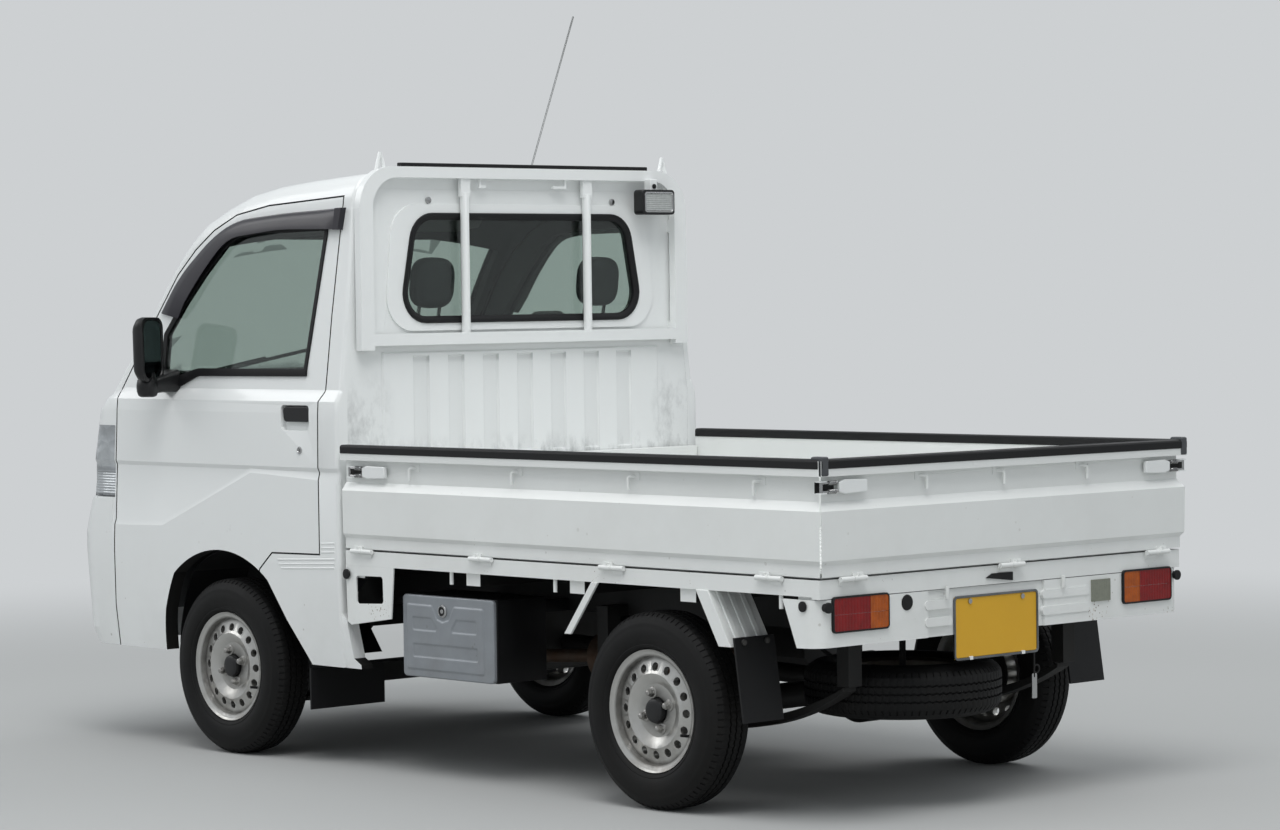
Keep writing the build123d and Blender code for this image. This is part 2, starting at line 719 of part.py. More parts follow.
# The running gear under both ends.
with BuildPart() as chassis_frame:
    for side in SIDES:
        low, high = sorted((side * (RAIL_Y - 25), side * (RAIL_Y + 25)))
        add(slab_xz(RAIL_OUTLINE, high, low))
        for x, z in ((REAR_AXLE_X + SPRING_HALF, SPRING_EYE_Z), (REAR_AXLE_X - SPRING_HALF, SPRING_EYE_Z)):
            low, high = sorted((side * (RAIL_Y + 20), side * (SPRING_Y + 25)))
            add(block(x - 22, x + 22, low, high, RAIL_BASE_Z, RAIL_BASE_Z + 30))
            low, high = sorted((side * (SPRING_Y - 25), side * (SPRING_Y + 25)))
            add(block(x - 22, x + 22, low, high, z + 14, RAIL_BASE_Z + 30))
    for x in CHASSIS_CROSS:
        add(block(x - 25, x + 25, -RAIL_Y, RAIL_Y, RAIL_BASE_Z + 10, RAIL_TOP_Z - 10))
    for x in (1000, 1400):
        add(block(x - 25, x + 25, -RAIL_Y, RAIL_Y, 340, 400))
    add(rod((SPARE_X, SPARE_Y, 240), (SPARE_X, SPARE_Y, RAIL_BASE_Z + 20), 9))
    add(rod((SPARE_X, SPARE_Y, 232), (SPARE_X, SPARE_Y, 240), 60))
save(chassis_frame, "chassis_frame")

with BuildPart() as engine:
    add(block(150, 600, -200, 200, 250, 555))
save(engine, "engine")

axle_housing = rod((REAR_AXLE_X, DIFF_Y - 80, WHEEL_R), (REAR_AXLE_X, DIFF_Y + 80, WHEEL_R), 100)
axle_housing = chamfer(axle_housing.edges().filter_by(GeomType.CIRCLE), length=45)
with BuildPart() as rear_axle:
    add(rod((REAR_AXLE_X, -BACKPLATE_Y, WHEEL_R), (REAR_AXLE_X, BACKPLATE_Y, WHEEL_R), 36))
    add(axle_housing)
    for side in SIDES:
        add(block(REAR_AXLE_X - 40, REAR_AXLE_X + 40, side * SPRING_Y - 25, side * SPRING_Y + 25, 231, WHEEL_R))
        y = side * BACKPLATE_Y
        add(rod((REAR_AXLE_X, y - side * 6, WHEEL_R), (REAR_AXLE_X, y, WHEEL_R), BACKPLATE_R))
        add(rod((REAR_AXLE_X, y, WHEEL_R), (REAR_AXLE_X, y + side * 22, WHEEL_R), STUB_R))
save(rear_axle, "rear_axle")

with BuildPart() as drive_shafts:
    add(rod((150, -40, 330), (REAR_AXLE_X + 90, DIFF_Y, 280), 28))
    add(rod((600, -60, 320), (FRONT_AXLE_X - 60, -60, 300), 24))
    for neighbour in (engine, rear_axle):
        add(neighbour.part, mode=Mode.SUBTRACT)
save(drive_shafts, "drive_shafts")

with BuildPart() as leaf_springs:
    for side in SIDES:
        y_high = side * SPRING_Y + 25
        with BuildSketch(side_plane(y_high)):
            with BuildLine():
                ThreePointArc(SPRING_FRONT, SPRING_MID, SPRING_REAR)
                Line(SPRING_REAR, (SPRING_REAR[0], SPRING_REAR[1] + 12))
                ThreePointArc(
                    (SPRING_REAR[0], SPRING_REAR[1] + 12),
                    (SPRING_MID[0], SPRING_MID[1] + 28),
                    (SPRING_FRONT[0], SPRING_FRONT[1] + 12),
                )
                Line((SPRING_FRONT[0], SPRING_FRONT[1] + 12), SPRING_FRONT)
            make_face()
        extrude(amount=50)
save(leaf_springs, "leaf_springs")

with BuildPart() as front_suspension:
    for side in SIDES:
        arm = slab_xy(
            [
                (FRONT_AXLE_X - 16, 620),
                (FRONT_AXLE_X + 16, 620),
                (FRONT_AXLE_X + 120, 372),
                (FRONT_AXLE_X + 120, 325),
                (FRONT_AXLE_X - 120, 325),
                (FRONT_AXLE_X - 120, 372),
            ],
            148,
            162,
        )
        hole = rod((FRONT_AXLE_X, KINGPIN_LOW_Y + 6, 140), (FRONT_AXLE_X, KINGPIN_LOW_Y + 6, 180), 10)
        add(to_side(arm - hole, side))
        low, high = sorted((side * 325, side * 372))
        add(block(FRONT_AXLE_X - 120, FRONT_AXLE_X + 120, low, high, 148, FRONT_RAIL_BASE_Z))
    add(block(FRONT_AXLE_X - 40, FRONT_AXLE_X + 40, -330, 330, 180, 240))
save(front_suspension, "front_suspension")

for side in SIDES:
    with BuildPart() as knuckle:
        add(rod(kingpin(150), kingpin(215), 7))
        add(rod(kingpin(300), kingpin(505), 22))
        add(rod(kingpin(500), kingpin(634), 9))
        add(slab_yz(CARRIER, FRONT_AXLE_X - 22, FRONT_AXLE_X + 22))
        add(rod((FRONT_AXLE_X, BACKPLATE_Y - 6, WHEEL_R), (FRONT_AXLE_X, BACKPLATE_Y, WHEEL_R), BACKPLATE_R))
        add(rod((FRONT_AXLE_X, BACKPLATE_Y, WHEEL_R), (FRONT_AXLE_X, BACKPLATE_Y + 22, WHEEL_R), STUB_R))
        if side < 0:
            mirror(about=Plane.XZ, mode=Mode.REPLACE)
    save(knuckle, f"knuckle_{SIDE_NAMES[side]}")

with BuildPart() as exhaust:
    add(rod((-250, 170, 330), (-720, 170, 330), 72))
    add(rod((160, 120, 300), (-250, 170, 330), 20))
    add(rod((-720, 170, 330), (-880, 250, 400), 20))
    add(engine.part, mode=Mode.SUBTRACT)
save(exhaust, "exhaust")

with BuildPart() as fuel_tank:
    add(block(-520, 60, -640, -390, 265, 470))
    chamfer(edges().filter_by(Axis.X), length=30)
save(fuel_tank, "fuel_tank")

# The wheels.
with BuildPart() as rim_master:
    with BuildSketch(Plane.XY):
        with BuildLine():
            Polyline(*RIM_SECTION, close=True)
        make_face()
    revolve(axis=Axis.Y)
    with BuildSketch(Plane.XZ.offset(-80)):
        with PolarLocations(RIM_HOLE_RING, 16):
            Circle(RIM_HOLE_R)
    extrude(amount=100, mode=Mode.SUBTRACT)
    with BuildSketch(Plane.XZ.offset(25)):
        Circle(RIM_SPACER_R)
        Circle(STUB_R + 4, mode=Mode.SUBTRACT)
    extrude(amount=-57)
    with BuildSketch(Plane.XZ.offset(-36)):
        Circle(HUB_CAP_R)
        with PolarLocations(NUT_RING, 4, start_angle=70):
            RegularPolygon(NUT_R, 6)
    extrude(amount=-14)
with BuildPart() as tyre_master:
    with BuildSketch(Plane.XY):
        with BuildLine():
            Polyline(*TYRE_SECTION, *[(radius, -out) for radius, out in reversed(TYRE_SECTION)], close=True)
        make_face()
    revolve(axis=Axis.Y)
wheel_places = (
    ("front", "left", FRONT_AXLE_X, 1),
    ("front", "right", FRONT_AXLE_X, -1),
    ("rear", "left", REAR_AXLE_X, 1),
    ("rear", "right", REAR_AXLE_X, -1),
)
for end, name, x, side in wheel_places:
    for kind, master in (("rim", rim_master), ("tyre", tyre_master)):
        with BuildPart() as wheel_piece:
            add(Pos(x, side * HALF_TRACK, WHEEL_R) * to_side(master.part, side))
        save(wheel_piece, f"{kind}_{end}_{name}")

with BuildPart() as spare_rim:
    add(Plane(origin=(SPARE_X, SPARE_Y, SPARE_Z), x_dir=(1, 0, 0), z_dir=(0, 1, 0)) * rim_master.part)
    add(rod((SPARE_X, SPARE_Y, 200), (SPARE_X, SPARE_Y, 460), 12), mode=Mode.SUBTRACT)
save(spare_rim, "spare_rim")
with BuildPart() as spare_tyre:
    add(Plane(origin=(SPARE_X, SPARE_Y, SPARE_Z), x_dir=(1, 0, 0), z_dir=(0, 1, 0)) * tyre_master.part)
save(spare_tyre, "spare_tyre")

# The bed.
with BuildPart() as bed_floor:
    add(block(REAR_X + GATE_DEPTH + PANEL_GAP, BED_FRONT_X, -BED_HALF, BED_HALF, BED_BASE_Z, FLOOR_Z))
    for number in range(GROOVE_COUNT):
        y = (number - (GROOVE_COUNT - 1) / 2) * GROOVE_PITCH
        add(block(REAR_X, BOARD_REAR_X - 40, y - 25, y + 25, FLOOR_Z - 7, FLOOR_Z + 5), mode=Mode.SUBTRACT)
    add(block(BOARD_REAR_X, BED_FRONT_X, -BED_HALF, BED_HALF, FLOOR_Z, BOARD_TOP_Z))
save(bed_floor, "bed_floor")

with BuildPart() as bed_frame:
    for side in SIDES:
        low, high = sorted((side * (SILL_Y - 30), side * SILL_Y))
        add(block(REAR_X + 24, BED_FRONT_X - 12, low, high, SILL_BASE_Z, SILL_TOP_Z))
        for x in SIDE_HINGES:
            add(rod((x - HINGE_HALF, side * HINGE_Y, HINGE_Z), (x - HINGE_PLAY, side * HINGE_Y, HINGE_Z), HINGE_R))
            low, high = sorted((side * (SILL_Y - 4), side * (SILL_Y + 5)))
            add(block(x - HINGE_HALF + 8, x - HINGE_PLAY, low, high, 632, HINGE_Z))
        for x in UNDER_PINS:
            add(rod((x, side * (SILL_Y - 10), 570), (x, side * (SILL_Y - 10), SILL_BASE_Z + 6), 6))
    for x in BED_CROSS:
        add(block(x - 30, x + 30, -SILL_Y + 10, SILL_Y - 10, RAIL_TOP_Z, BED_BASE_Z))
    add(block(REAR_X + 22, REAR_X + 50, -SILL_Y, SILL_Y, 600, SILL_TOP_Z))
    for y in TAIL_HINGES:
        add(rod((HINGE_X, y + HINGE_PLAY, HINGE_Z), (HINGE_X, y + HINGE_HALF, HINGE_Z), HINGE_R))
        add(block(REAR_X + 15, REAR_X + 26, y + HINGE_PLAY, y + HINGE_HALF - 8, 632, HINGE_Z))
save(bed_frame, "bed_frame")

with BuildPart() as rear_panel:
    add(slab_xz(REAR_PANEL_SIDE, SILL_Y + 4, -SILL_Y - 4))
    fillet(edges().filter_by(Axis.Z).group_by(Axis.X)[0], radius=REAR_PANEL_R)
    with BuildSketch(Plane.XY.offset(400)):
        with Locations((REAR_PANEL_X + 6 + 200, 0)):
            Rectangle(400, 2 * (SILL_Y - 2))
        fillet(vertices().group_by(Axis.X)[0], radius=REAR_PANEL_R - 6)
    extrude(amount=300, mode=Mode.SUBTRACT)
    add(block(REAR_X, REAR_PANEL_X + 20, *RECESS_Y, 440, 700), mode=Mode.SUBTRACT)
    add(block(REAR_PANEL_X + 8, REAR_PANEL_X + 14, *RECESS_Y, 475, 598))
    for y in RECESS_Y:
        add(block(REAR_PANEL_X, REAR_PANEL_X + 14, y - 4, y + 4, 475, 598))
    with BuildSketch(Plane.YZ.offset(REAR_PANEL_X - REAR_RIB_RISE)):
        for z in REAR_RIB_Z:
            for low, high in REAR_RIB_ENDS:
                with Locations(((low + high) / 2, z)):
                    SlotOverall(high - low, 24)
    extrude(amount=REAR_RIB_RISE + 10)
save(rear_panel, "rear_panel")

with BuildPart() as tail_lamps:
    for side in SIDES:
        low, high = sorted((side * 469, side * 680))
        add(block(REAR_PANEL_X - 8, REAR_PANEL_X, low, high, 511, 605))
    fillet(edges().filter_by(Axis.X), radius=10)
    add(block(REAR_PANEL_X - 6, REAR_PANEL_X, -416, -340, 527, 587))
    add(block(REAR_X + 17, REAR_X + 22, -15, 90, 604, 630))
save(tail_lamps, "tail_lamps")

with BuildPart() as number_plate:
    add(block(PLATE_X - 2, PLATE_X, PLATE_Y - 165, PLATE_Y + 165, 408, 573))
    add(block(PLATE_X, REAR_PANEL_X + 8, PLATE_Y - 120, PLATE_Y + 120, 540, 560))
save(number_plate, "number_plate")

with BuildPart() as side_panels:
    for side in SIDES:
        panel = slab_xz(SIDE_PANEL, SILL_Y, SILL_Y - 6) - slab_xz(SIDE_PANEL_HOLE, 740, 700, radius=10)
        add(to_side(panel, side))
save(side_panels, "side_panels")

with BuildPart() as rear_arches:
    for side in SIDES:
        front_stay = slab_xz([(-838, 606), (-811, 606), (-698, 459), (-725, 459)], SILL_Y + 4, SILL_Y - 4)
        rear_stay = slab_xz([(-1262, 606), (-1222, 606), (-1307, 460), (-1347, 460)], SILL_Y + 4, SILL_Y - 4)
        plate = slab_xz([(-1268, 606), (-1262, 606), (-1347, 460), (-1353, 460)], SILL_Y + 4, 575)
        for y in (610, 650, 690):
            plate += slab_xz([(-1272, 606), (-1262, 606), (-1347, 460), (-1357, 460)], y + 8, y - 8)
        add(to_side(front_stay + rear_stay + plate, side))
save(rear_arches, "rear_arches")

with BuildPart() as mud_flaps:
    for side in SIDES:
        add(to_side(slab_xz(REAR_FLAP, 724, 577), side))
        add(to_side(block(455, 461, 432, 712, 165, 288), side))
        liner = front_arch(LINER_T) - front_arch(0)
        liner = liner & block(440, 1240, LINER_Y[0], LINER_Y[1], 318, 640)
        liner -= rod(kingpin(600), kingpin(660), 34)
        add(to_side(liner, side))
save(mud_flaps, "mud_flaps")

with BuildPart() as toolbox:
    add(block(*TOOLBOX_X, *TOOLBOX_Y, *TOOLBOX_Z))
    add(block(TOOLBOX_X[0] + 4, TOOLBOX_X[1] - 4, TOOLBOX_Y[0] + 4, TOOLBOX_Y[1] + 5, TOOLBOX_Z[0] + 4,
              TOOLBOX_Z[1] - 4), mode=Mode.SUBTRACT)
    for x in (TOOLBOX_X[0] + 40, TOOLBOX_X[1] - 80):
        add(block(x, x + 40, RAIL_Y + 25, TOOLBOX_Y[0], 480, 515))
save(toolbox, "toolbox")

with BuildPart() as toolbox_lid:
    add(block(TOOLBOX_X[0] + 1, TOOLBOX_X[1] - 1, TOOLBOX_Y[1] + 2, LID_FACE_Y, TOOLBOX_Z[0], TOOLBOX_Z[1]))
    fillet(edges().filter_by(Axis.Y), radius=14)
    for pocket in LID_POCKETS:
        add(slab_xz(pocket, LID_FACE_Y + 1, LID_FACE_Y - LID_DIP, radius=6), mode=Mode.SUBTRACT)
save(toolbox_lid, "toolbox_lid")

# The three gates, all with one section.
for side in SIDES:
    with BuildPart() as side_gate:
        add(slab_yz(GATE_SECTION, REAR_X - 10, GATE_FRONT_X))
        add(mitre_cut(PANEL_GAP / 2), mode=Mode.SUBTRACT)
        for x in SIDE_HINGES:
            add(rod((x + HINGE_PLAY, HINGE_Y, HINGE_Z), (x + HINGE_HALF, HINGE_Y, HINGE_Z), HINGE_R))
            add(block(x + HINGE_PLAY, x + HINGE_HALF - 8, 722, 727, HINGE_Z + 2, 664))
        for x in SIDE_ROPE_HOOKS:
            add(rod((x, HOOK_Y, 862), (x, HOOK_Y, 902), HOOK_R))
            add(rod((x, HOOK_Y, 896), (x - 16, 714, 896), HOOK_R - 0.5))
        add(slab_xz(SIDE_LATCH, 736, 722, radius=7))
        add(block(190, 240, 714, 726, 862, 900))
        add(rod((232, 728, 850), (232, 728, 912), 5))
        if side < 0:
            mirror(about=Plane.XZ, mode=Mode.REPLACE)
    save(side_gate, f"side_gate_{SIDE_NAMES[side]}")

tail_section = [(REAR_X + HALF_WIDTH - y, z) for y, z in GATE_SECTION]
with BuildPart() as tailgate:
    add(slab_xz(tail_section, HALF_WIDTH + 10, -HALF_WIDTH - 10))
    for side in SIDES:
        add(to_side(mitre_cut(-PANEL_GAP / 2), side), mode=Mode.INTERSECT)
    for y in TAIL_HINGES:
        add(rod((HINGE_X, y - HINGE_HALF, HINGE_Z), (HINGE_X, y - HINGE_PLAY, HINGE_Z), HINGE_R))
        add(block(REAR_X + 10.5, REAR_X + 15.5, y - HINGE_HALF + 8, y - HINGE_PLAY, HINGE_Z + 2, 664))
    for y in TAIL_ROPE_HOOKS:
        hook_x = REAR_X + HALF_WIDTH - HOOK_Y
        add(rod((hook_x, y, 868), (hook_x, y, 910), HOOK_R))
        add(rod((hook_x, y, 904), (REAR_X + 24, y - 16, 904), HOOK_R - 0.5))
    for side in SIDES:
        add(to_side(slab_yz(TAIL_LATCH, REAR_X + 2, REAR_X + 16, radius=7), side))
        add(to_side(block(REAR_X + 12, REAR_X + 24, 665, 704, 866, 906), side))
save(tailgate, "tailgate")
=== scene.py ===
"""A white kei truck with a drop-side bed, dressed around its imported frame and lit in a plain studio.

Every length is in metres unless a name says otherwise, in the frame's own axes: +X forward, +Y to the
truck's left and +Z up, with the ground at height zero.
"""

from __future__ import annotations

import logging
import math
from dataclasses import dataclass, field
from enum import Enum, auto
from typing import Iterable, Sequence

import bmesh
import bpy
import numpy as np
from mathutils import Matrix, Vector
from mathutils.bvhtree import BVHTree

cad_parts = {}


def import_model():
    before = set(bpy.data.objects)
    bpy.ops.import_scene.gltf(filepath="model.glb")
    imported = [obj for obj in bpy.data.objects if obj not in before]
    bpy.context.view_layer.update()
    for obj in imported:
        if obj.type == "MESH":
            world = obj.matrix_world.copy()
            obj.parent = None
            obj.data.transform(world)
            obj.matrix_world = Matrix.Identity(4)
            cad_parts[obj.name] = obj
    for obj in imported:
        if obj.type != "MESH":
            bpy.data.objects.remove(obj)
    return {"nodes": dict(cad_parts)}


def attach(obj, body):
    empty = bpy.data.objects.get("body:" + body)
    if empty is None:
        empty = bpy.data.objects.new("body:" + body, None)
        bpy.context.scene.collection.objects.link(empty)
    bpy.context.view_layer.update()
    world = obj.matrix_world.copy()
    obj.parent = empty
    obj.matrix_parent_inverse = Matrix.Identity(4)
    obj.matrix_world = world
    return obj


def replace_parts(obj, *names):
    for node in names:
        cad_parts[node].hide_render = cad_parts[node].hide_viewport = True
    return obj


LOG = logging.getLogger("kei_truck")

Array = np.ndarray
Tree = bpy.types.NodeTree
Socket = bpy.types.NodeSocket
Piece = bpy.types.Object
Pair = tuple[float, float]
Point = tuple[float, float, float]

# Driving dimensions, the same as the frame's.
REAR_X = -3.395 / 2
WHEEL_R = 0.268
HALF_TRACK = 0.650
REAR_AXLE_X = REAR_X + 0.671
FRONT_AXLE_X = REAR_AXLE_X + 1.900
REAR_PANEL_X = -1.676
CAB_MIDDLE = Vector((0.80, 0.0, 1.05))
SIDES = {"left": 1.0, "right": -1.0}
UP = np.array((0.0, 0.0, 1.0))
BACKWARDS = (-1.0, 0.0, 0.0)
# The door's outline seen from the side, in millimetres, from the foot of its front edge.
DOOR_MM = (
    (1442, 290), (1434, 640), (1408, 1000), (1402, 1114), (1245, 1335), (1145, 1468), (1058, 1546), (970, 1603),
    (860, 1648), (700, 1672), (336, 1690), (356, 1340), (362, 1112), (376, 1085), (380, 876), (380, 632), (612, 628),
    (676, 576),
)


def mm(value: float) -> float:
    """Return a length given in millimetres as metres."""
    return value / 1000.0


def scaled(outline: Iterable[Sequence[float]]) -> Array:
    """Return points given in millimetres as metres."""
    return np.array(outline, dtype=float) / 1000.0


def srgb(code: str) -> tuple[float, ...]:
    """Return six hex digits of sRGB as linear RGBA, by the sRGB transfer curve."""
    raw = np.array([int(code[i : i + 2], 16) for i in (0, 2, 4)]) / 255.0
    return (*np.where(raw <= 0.04045, raw / 12.92, ((raw + 0.055) / 1.055) ** 2.4).tolist(), 1.0)


def put(
    tree: Tree, kind: str, inputs: dict | tuple = (), out: int | str = 0, bands: Sequence[Pair] = (), **settings: object
) -> Socket | None:
    """Add one node to a tree.

    Args:
        tree: The node tree.
        kind: The node's type name after "ShaderNode".
        inputs: Values, or sockets that are linked, in socket order or by name or index.
        out: The output to return.
        bands: The places and grey levels of a colour ramp, from 0 to 1.
        settings: Attributes of the node.

    Returns:
        The wanted output, or nothing from a node that has none.
    """
    node = tree.nodes.new("ShaderNode" + kind)
    for name, value in settings.items():
        setattr(node, name, value)
    if bands:
        stops = node.color_ramp.elements
        for stop, (_, level) in ((stops[0], bands[0]), (stops[1], bands[-1])):
            stop.color = (level, level, level, 1.0)
        for spot, level in bands[1:-1]:
            stops.new(spot).color = (level, level, level, 1.0)
    for key, value in (inputs if isinstance(inputs, dict) else dict(enumerate(inputs))).items():
        if isinstance(value, Socket):
            tree.links.new(value, node.inputs[key])
        else:
            node.inputs[key].default_value = value
    return node.outputs[out] if node.outputs else None


@dataclass(frozen=True)
class Grime:
    """What weather leaves low down: a film of dust and specks of mud."""

    colour: str = "8a8272"
    film: float = 0.10
    film_mm: float = 240.0
    specks: float = 0.5
    speck_mm: float = 9.0
    low_z: float = 0.30
    high_z: float = 0.75

    def share(self, tree: Tree, place: Socket) -> Socket:
        """Return how much grime lies at each place.

        The film is a slow noise and the specks are a thresholded Voronoi distance. Both are multiplied
        by a ramp that is 1 at low_z and fades to nothing at high_z.

        Args:
            tree: The node tree.
            place: Object coordinates.

        Returns:
            The share, 0 to 1.
        """
        low = put(tree, "MapRange", (put(tree, "SeparateXYZ", (place,), "Z"), self.high_z, self.low_z, 0.0, 1.0))
        film = put(
            tree, "TexNoise", {"Vector": place, "Scale": 1000.0 / self.film_mm, "Detail": 6.0, "Roughness": 0.65}, "Fac"
        )
        film = put(tree, "MapRange", (film, 0.42, 0.72, 0.0, self.film))
        spread = {"Vector": place, "Scale": 1000.0 / (self.speck_mm * 3.2), "Randomness": 1.0}
        cells = put(tree, "TexVoronoi", spread, "Distance")
        patches = put(tree, "TexNoise", {"Vector": place, "Scale": 14.0, "Detail": 2.0}, "Fac")
        reach = put(tree, "MapRange", (patches, 0.52, 0.72, 0.0, 0.2))
        speck = put(tree, "Math", (cells, reach), operation="LESS_THAN")
        speck = put(tree, "Math", (speck, self.specks), operation="MULTIPLY")
        both = put(tree, "Math", (film, speck), operation="MAXIMUM")
        return put(tree, "Math", (both, low), operation="MULTIPLY")


class WearAndShade(Enum):
    """What lies over a finish besides its grime, in places that belong to its pieces: worn places, and painted shade in
    hollows and bands.
    """

    NONE = auto()
    BRAKE_DUST_AND_SHADE = auto()
    LOAD_SCUFFS_AND_CHANNEL_SHADE = auto()
    SILL_CHIPS = auto()
    LAMP_SHADE_BANDS = auto()

    def layers(self, tree: Tree, place: Socket) -> list[tuple[Socket, str, float | None]]:
        """Return the layers, lowest first.

        Brake dust and painted shade follow the distance from the nearer axle, in rings: the hub's dish, the well
        inside the rim and the bead, the dish and the well darkened as painted shade. Load scuffs are a dragged noise
        in a low band and at both sides of the cab's rear wall, with painted shade in its pressed channels, which
        repeat every 137 mm, on one wall of each and darkest at their top ends. Sill chips are Voronoi cells below a
        noise threshold, each with a rusty halo. Lamp shade bands are painted shade that follows the height: a dark
        line at the lens's foot and grey bands above it.

        Args:
            tree: The node tree.
            place: Object coordinates.

        Returns:
            Each layer's share, its colour and, where it changes, its roughness.
        """
        along, across, up = (put(tree, "SeparateXYZ", (place,), axis) for axis in "XYZ")
        if self is WearAndShade.BRAKE_DUST_AND_SHADE:
            along = put(tree, "Math", (along, (FRONT_AXLE_X + REAR_AXLE_X) / 2.0), operation="SUBTRACT")
            along = put(tree, "Math", (along,), operation="ABSOLUTE")
            along = put(tree, "Math", (along, (FRONT_AXLE_X - REAR_AXLE_X) / 2.0), operation="SUBTRACT")
            up = put(tree, "Math", (up, WHEEL_R), operation="SUBTRACT")
            flat = put(tree, "CombineXYZ", (along, 0.0, up))
            radius = put(tree, "VectorMath", (flat,), "Value", operation="LENGTH")
            # Rings of brake dust and painted shade: darkest in the hub's dish and the well inside the rim, where shade
            # falls.
            rings = (
                (0.0, 0.70), (0.22, 0.60), (0.36, 0.30), (0.46, 0.08), (0.60, 0.0), (0.79, 0.06), (0.84, 0.62),
                (0.885, 0.50), (0.91, 0.04), (1.0, 0.15),
            )
            dust = put(tree, "ValToRGB", (put(tree, "MapRange", (radius, 0.0, 0.17, 0.0, 1.0)),), bands=rings)
            spread = put(tree, "TexNoise", {"Vector": place, "Scale": 22.0, "Detail": 5.0}, "Fac")
            spread = put(tree, "MapRange", (spread, 0.3, 0.7, 0.75, 1.15))
            return [(put(tree, "Math", (dust, spread), operation="MULTIPLY", use_clamp=True), "2c2926", 0.62)]
        if self is WearAndShade.LOAD_SCUFFS_AND_CHANNEL_SHADE:
            band = put(tree, "MapRange", (up, 0.985, 0.90, 0.0, 1.0), interpolation_type="SMOOTHSTEP")
            side = put(tree, "Math", (across,), operation="ABSOLUTE")
            outer = put(tree, "MapRange", (side, 0.50, 0.58, 0.0, 0.7), interpolation_type="SMOOTHSTEP")
            patch = put(tree, "Math", (outer, put(tree, "MapRange", (up, 1.18, 1.05, 0.0, 1.0))), operation="MULTIPLY")
            where = put(tree, "Math", (band, patch), operation="MAXIMUM")
            drag = put(tree, "Mapping", {"Vector": place, "Scale": (1.0, 9.0, 5.0)})
            rub = put(tree, "TexNoise", {"Vector": drag, "Scale": 1.6, "Detail": 6.0, "Roughness": 0.7}, "Fac")
            rub = put(tree, "MapRange", (rub, 0.46, 0.74, 0.0, 0.75))
            # Painted shade in the pressed channels, every 137 mm: one wall darker, the top ends darkest.
            beat = put(tree, "Math", (across, 0.137), operation="DIVIDE")
            beat = put(tree, "Math", (put(tree, "Math", (beat, 0.5), operation="ADD"),), operation="FRACT")
            channel_shade_profile = (
                (0.0, 0.0), (0.262, 0.0), (0.275, 1.0), (0.34, 0.45), (0.66, 0.35), (0.725, 0.6), (0.738, 0.0),
                (1.0, 0.0),
            )
            sunk = put(tree, "ValToRGB", (beat,), bands=channel_shade_profile)
            channel_shade_height = (
                (0.0, 0.26), (0.5, 0.16), (0.83, 0.18), (0.86, 0.60), (0.897, 0.60), (0.90, 0.0), (1.0, 0.0),
            )
            channel_shade_height = put(tree, "ValToRGB", (put(tree, "MapRange", (up, 0.9, 1.25, 0.0, 1.0)),), bands=channel_shade_height)
            inner = put(tree, "MapRange", (side, 0.452, 0.446, 0.0, 1.0))
            sunk = put(tree, "Math", (sunk, inner), operation="MULTIPLY")
            sunk = put(tree, "Math", (sunk, channel_shade_height), operation="MULTIPLY")
            # The first layer is the rubbed scuffs; the second, 8c8f8f, is painted shade in the channels.
            return [(put(tree, "Math", (rub, where), operation="MULTIPLY"), "7d7f7f", None), (sunk, "8c8f8f", None)]
        if self is WearAndShade.SILL_CHIPS:
            cells = put(tree, "TexVoronoi", {"Vector": place, "Scale": 115.0}, "Distance")
            where = put(tree, "TexNoise", {"Vector": place, "Scale": 7.0, "Detail": 3.0}, "Fac")
            reach = put(tree, "MapRange", (where, 0.56, 0.75, 0.0, 0.26))
            reach = put(tree, "Math", (reach, put(tree, "MapRange", (up, 0.72, 0.60, 0.0, 1.0))), operation="MULTIPLY")
            chip = put(tree, "Math", (cells, reach), operation="LESS_THAN")
            halo = put(tree, "Math", (reach, 1.9), operation="MULTIPLY")
            stain = put(tree, "Math", (cells, halo), operation="LESS_THAN")
            stain = put(tree, "Math", (stain, 0.28), operation="MULTIPLY")
            return [(stain, "9a7a4c", None), (chip, "3a2b20", None)]
        # Painted shade by height on the headlamps: a dark line at the lens's foot and grey bands above.
        bands = (
            (0.0, 0.9), (0.035, 0.9), (0.05, 0.0), (0.30, 0.05), (0.34, 0.4), (0.40, 0.35), (0.44, 0.0), (0.74, 0.05),
            (0.80, 0.2), (1.0, 0.3),
        )
        depth = put(tree, "ValToRGB", (put(tree, "MapRange", (up, 0.771, 0.999, 0.0, 1.0)),), bands=bands)
        return [(depth, "3c4043", None)]


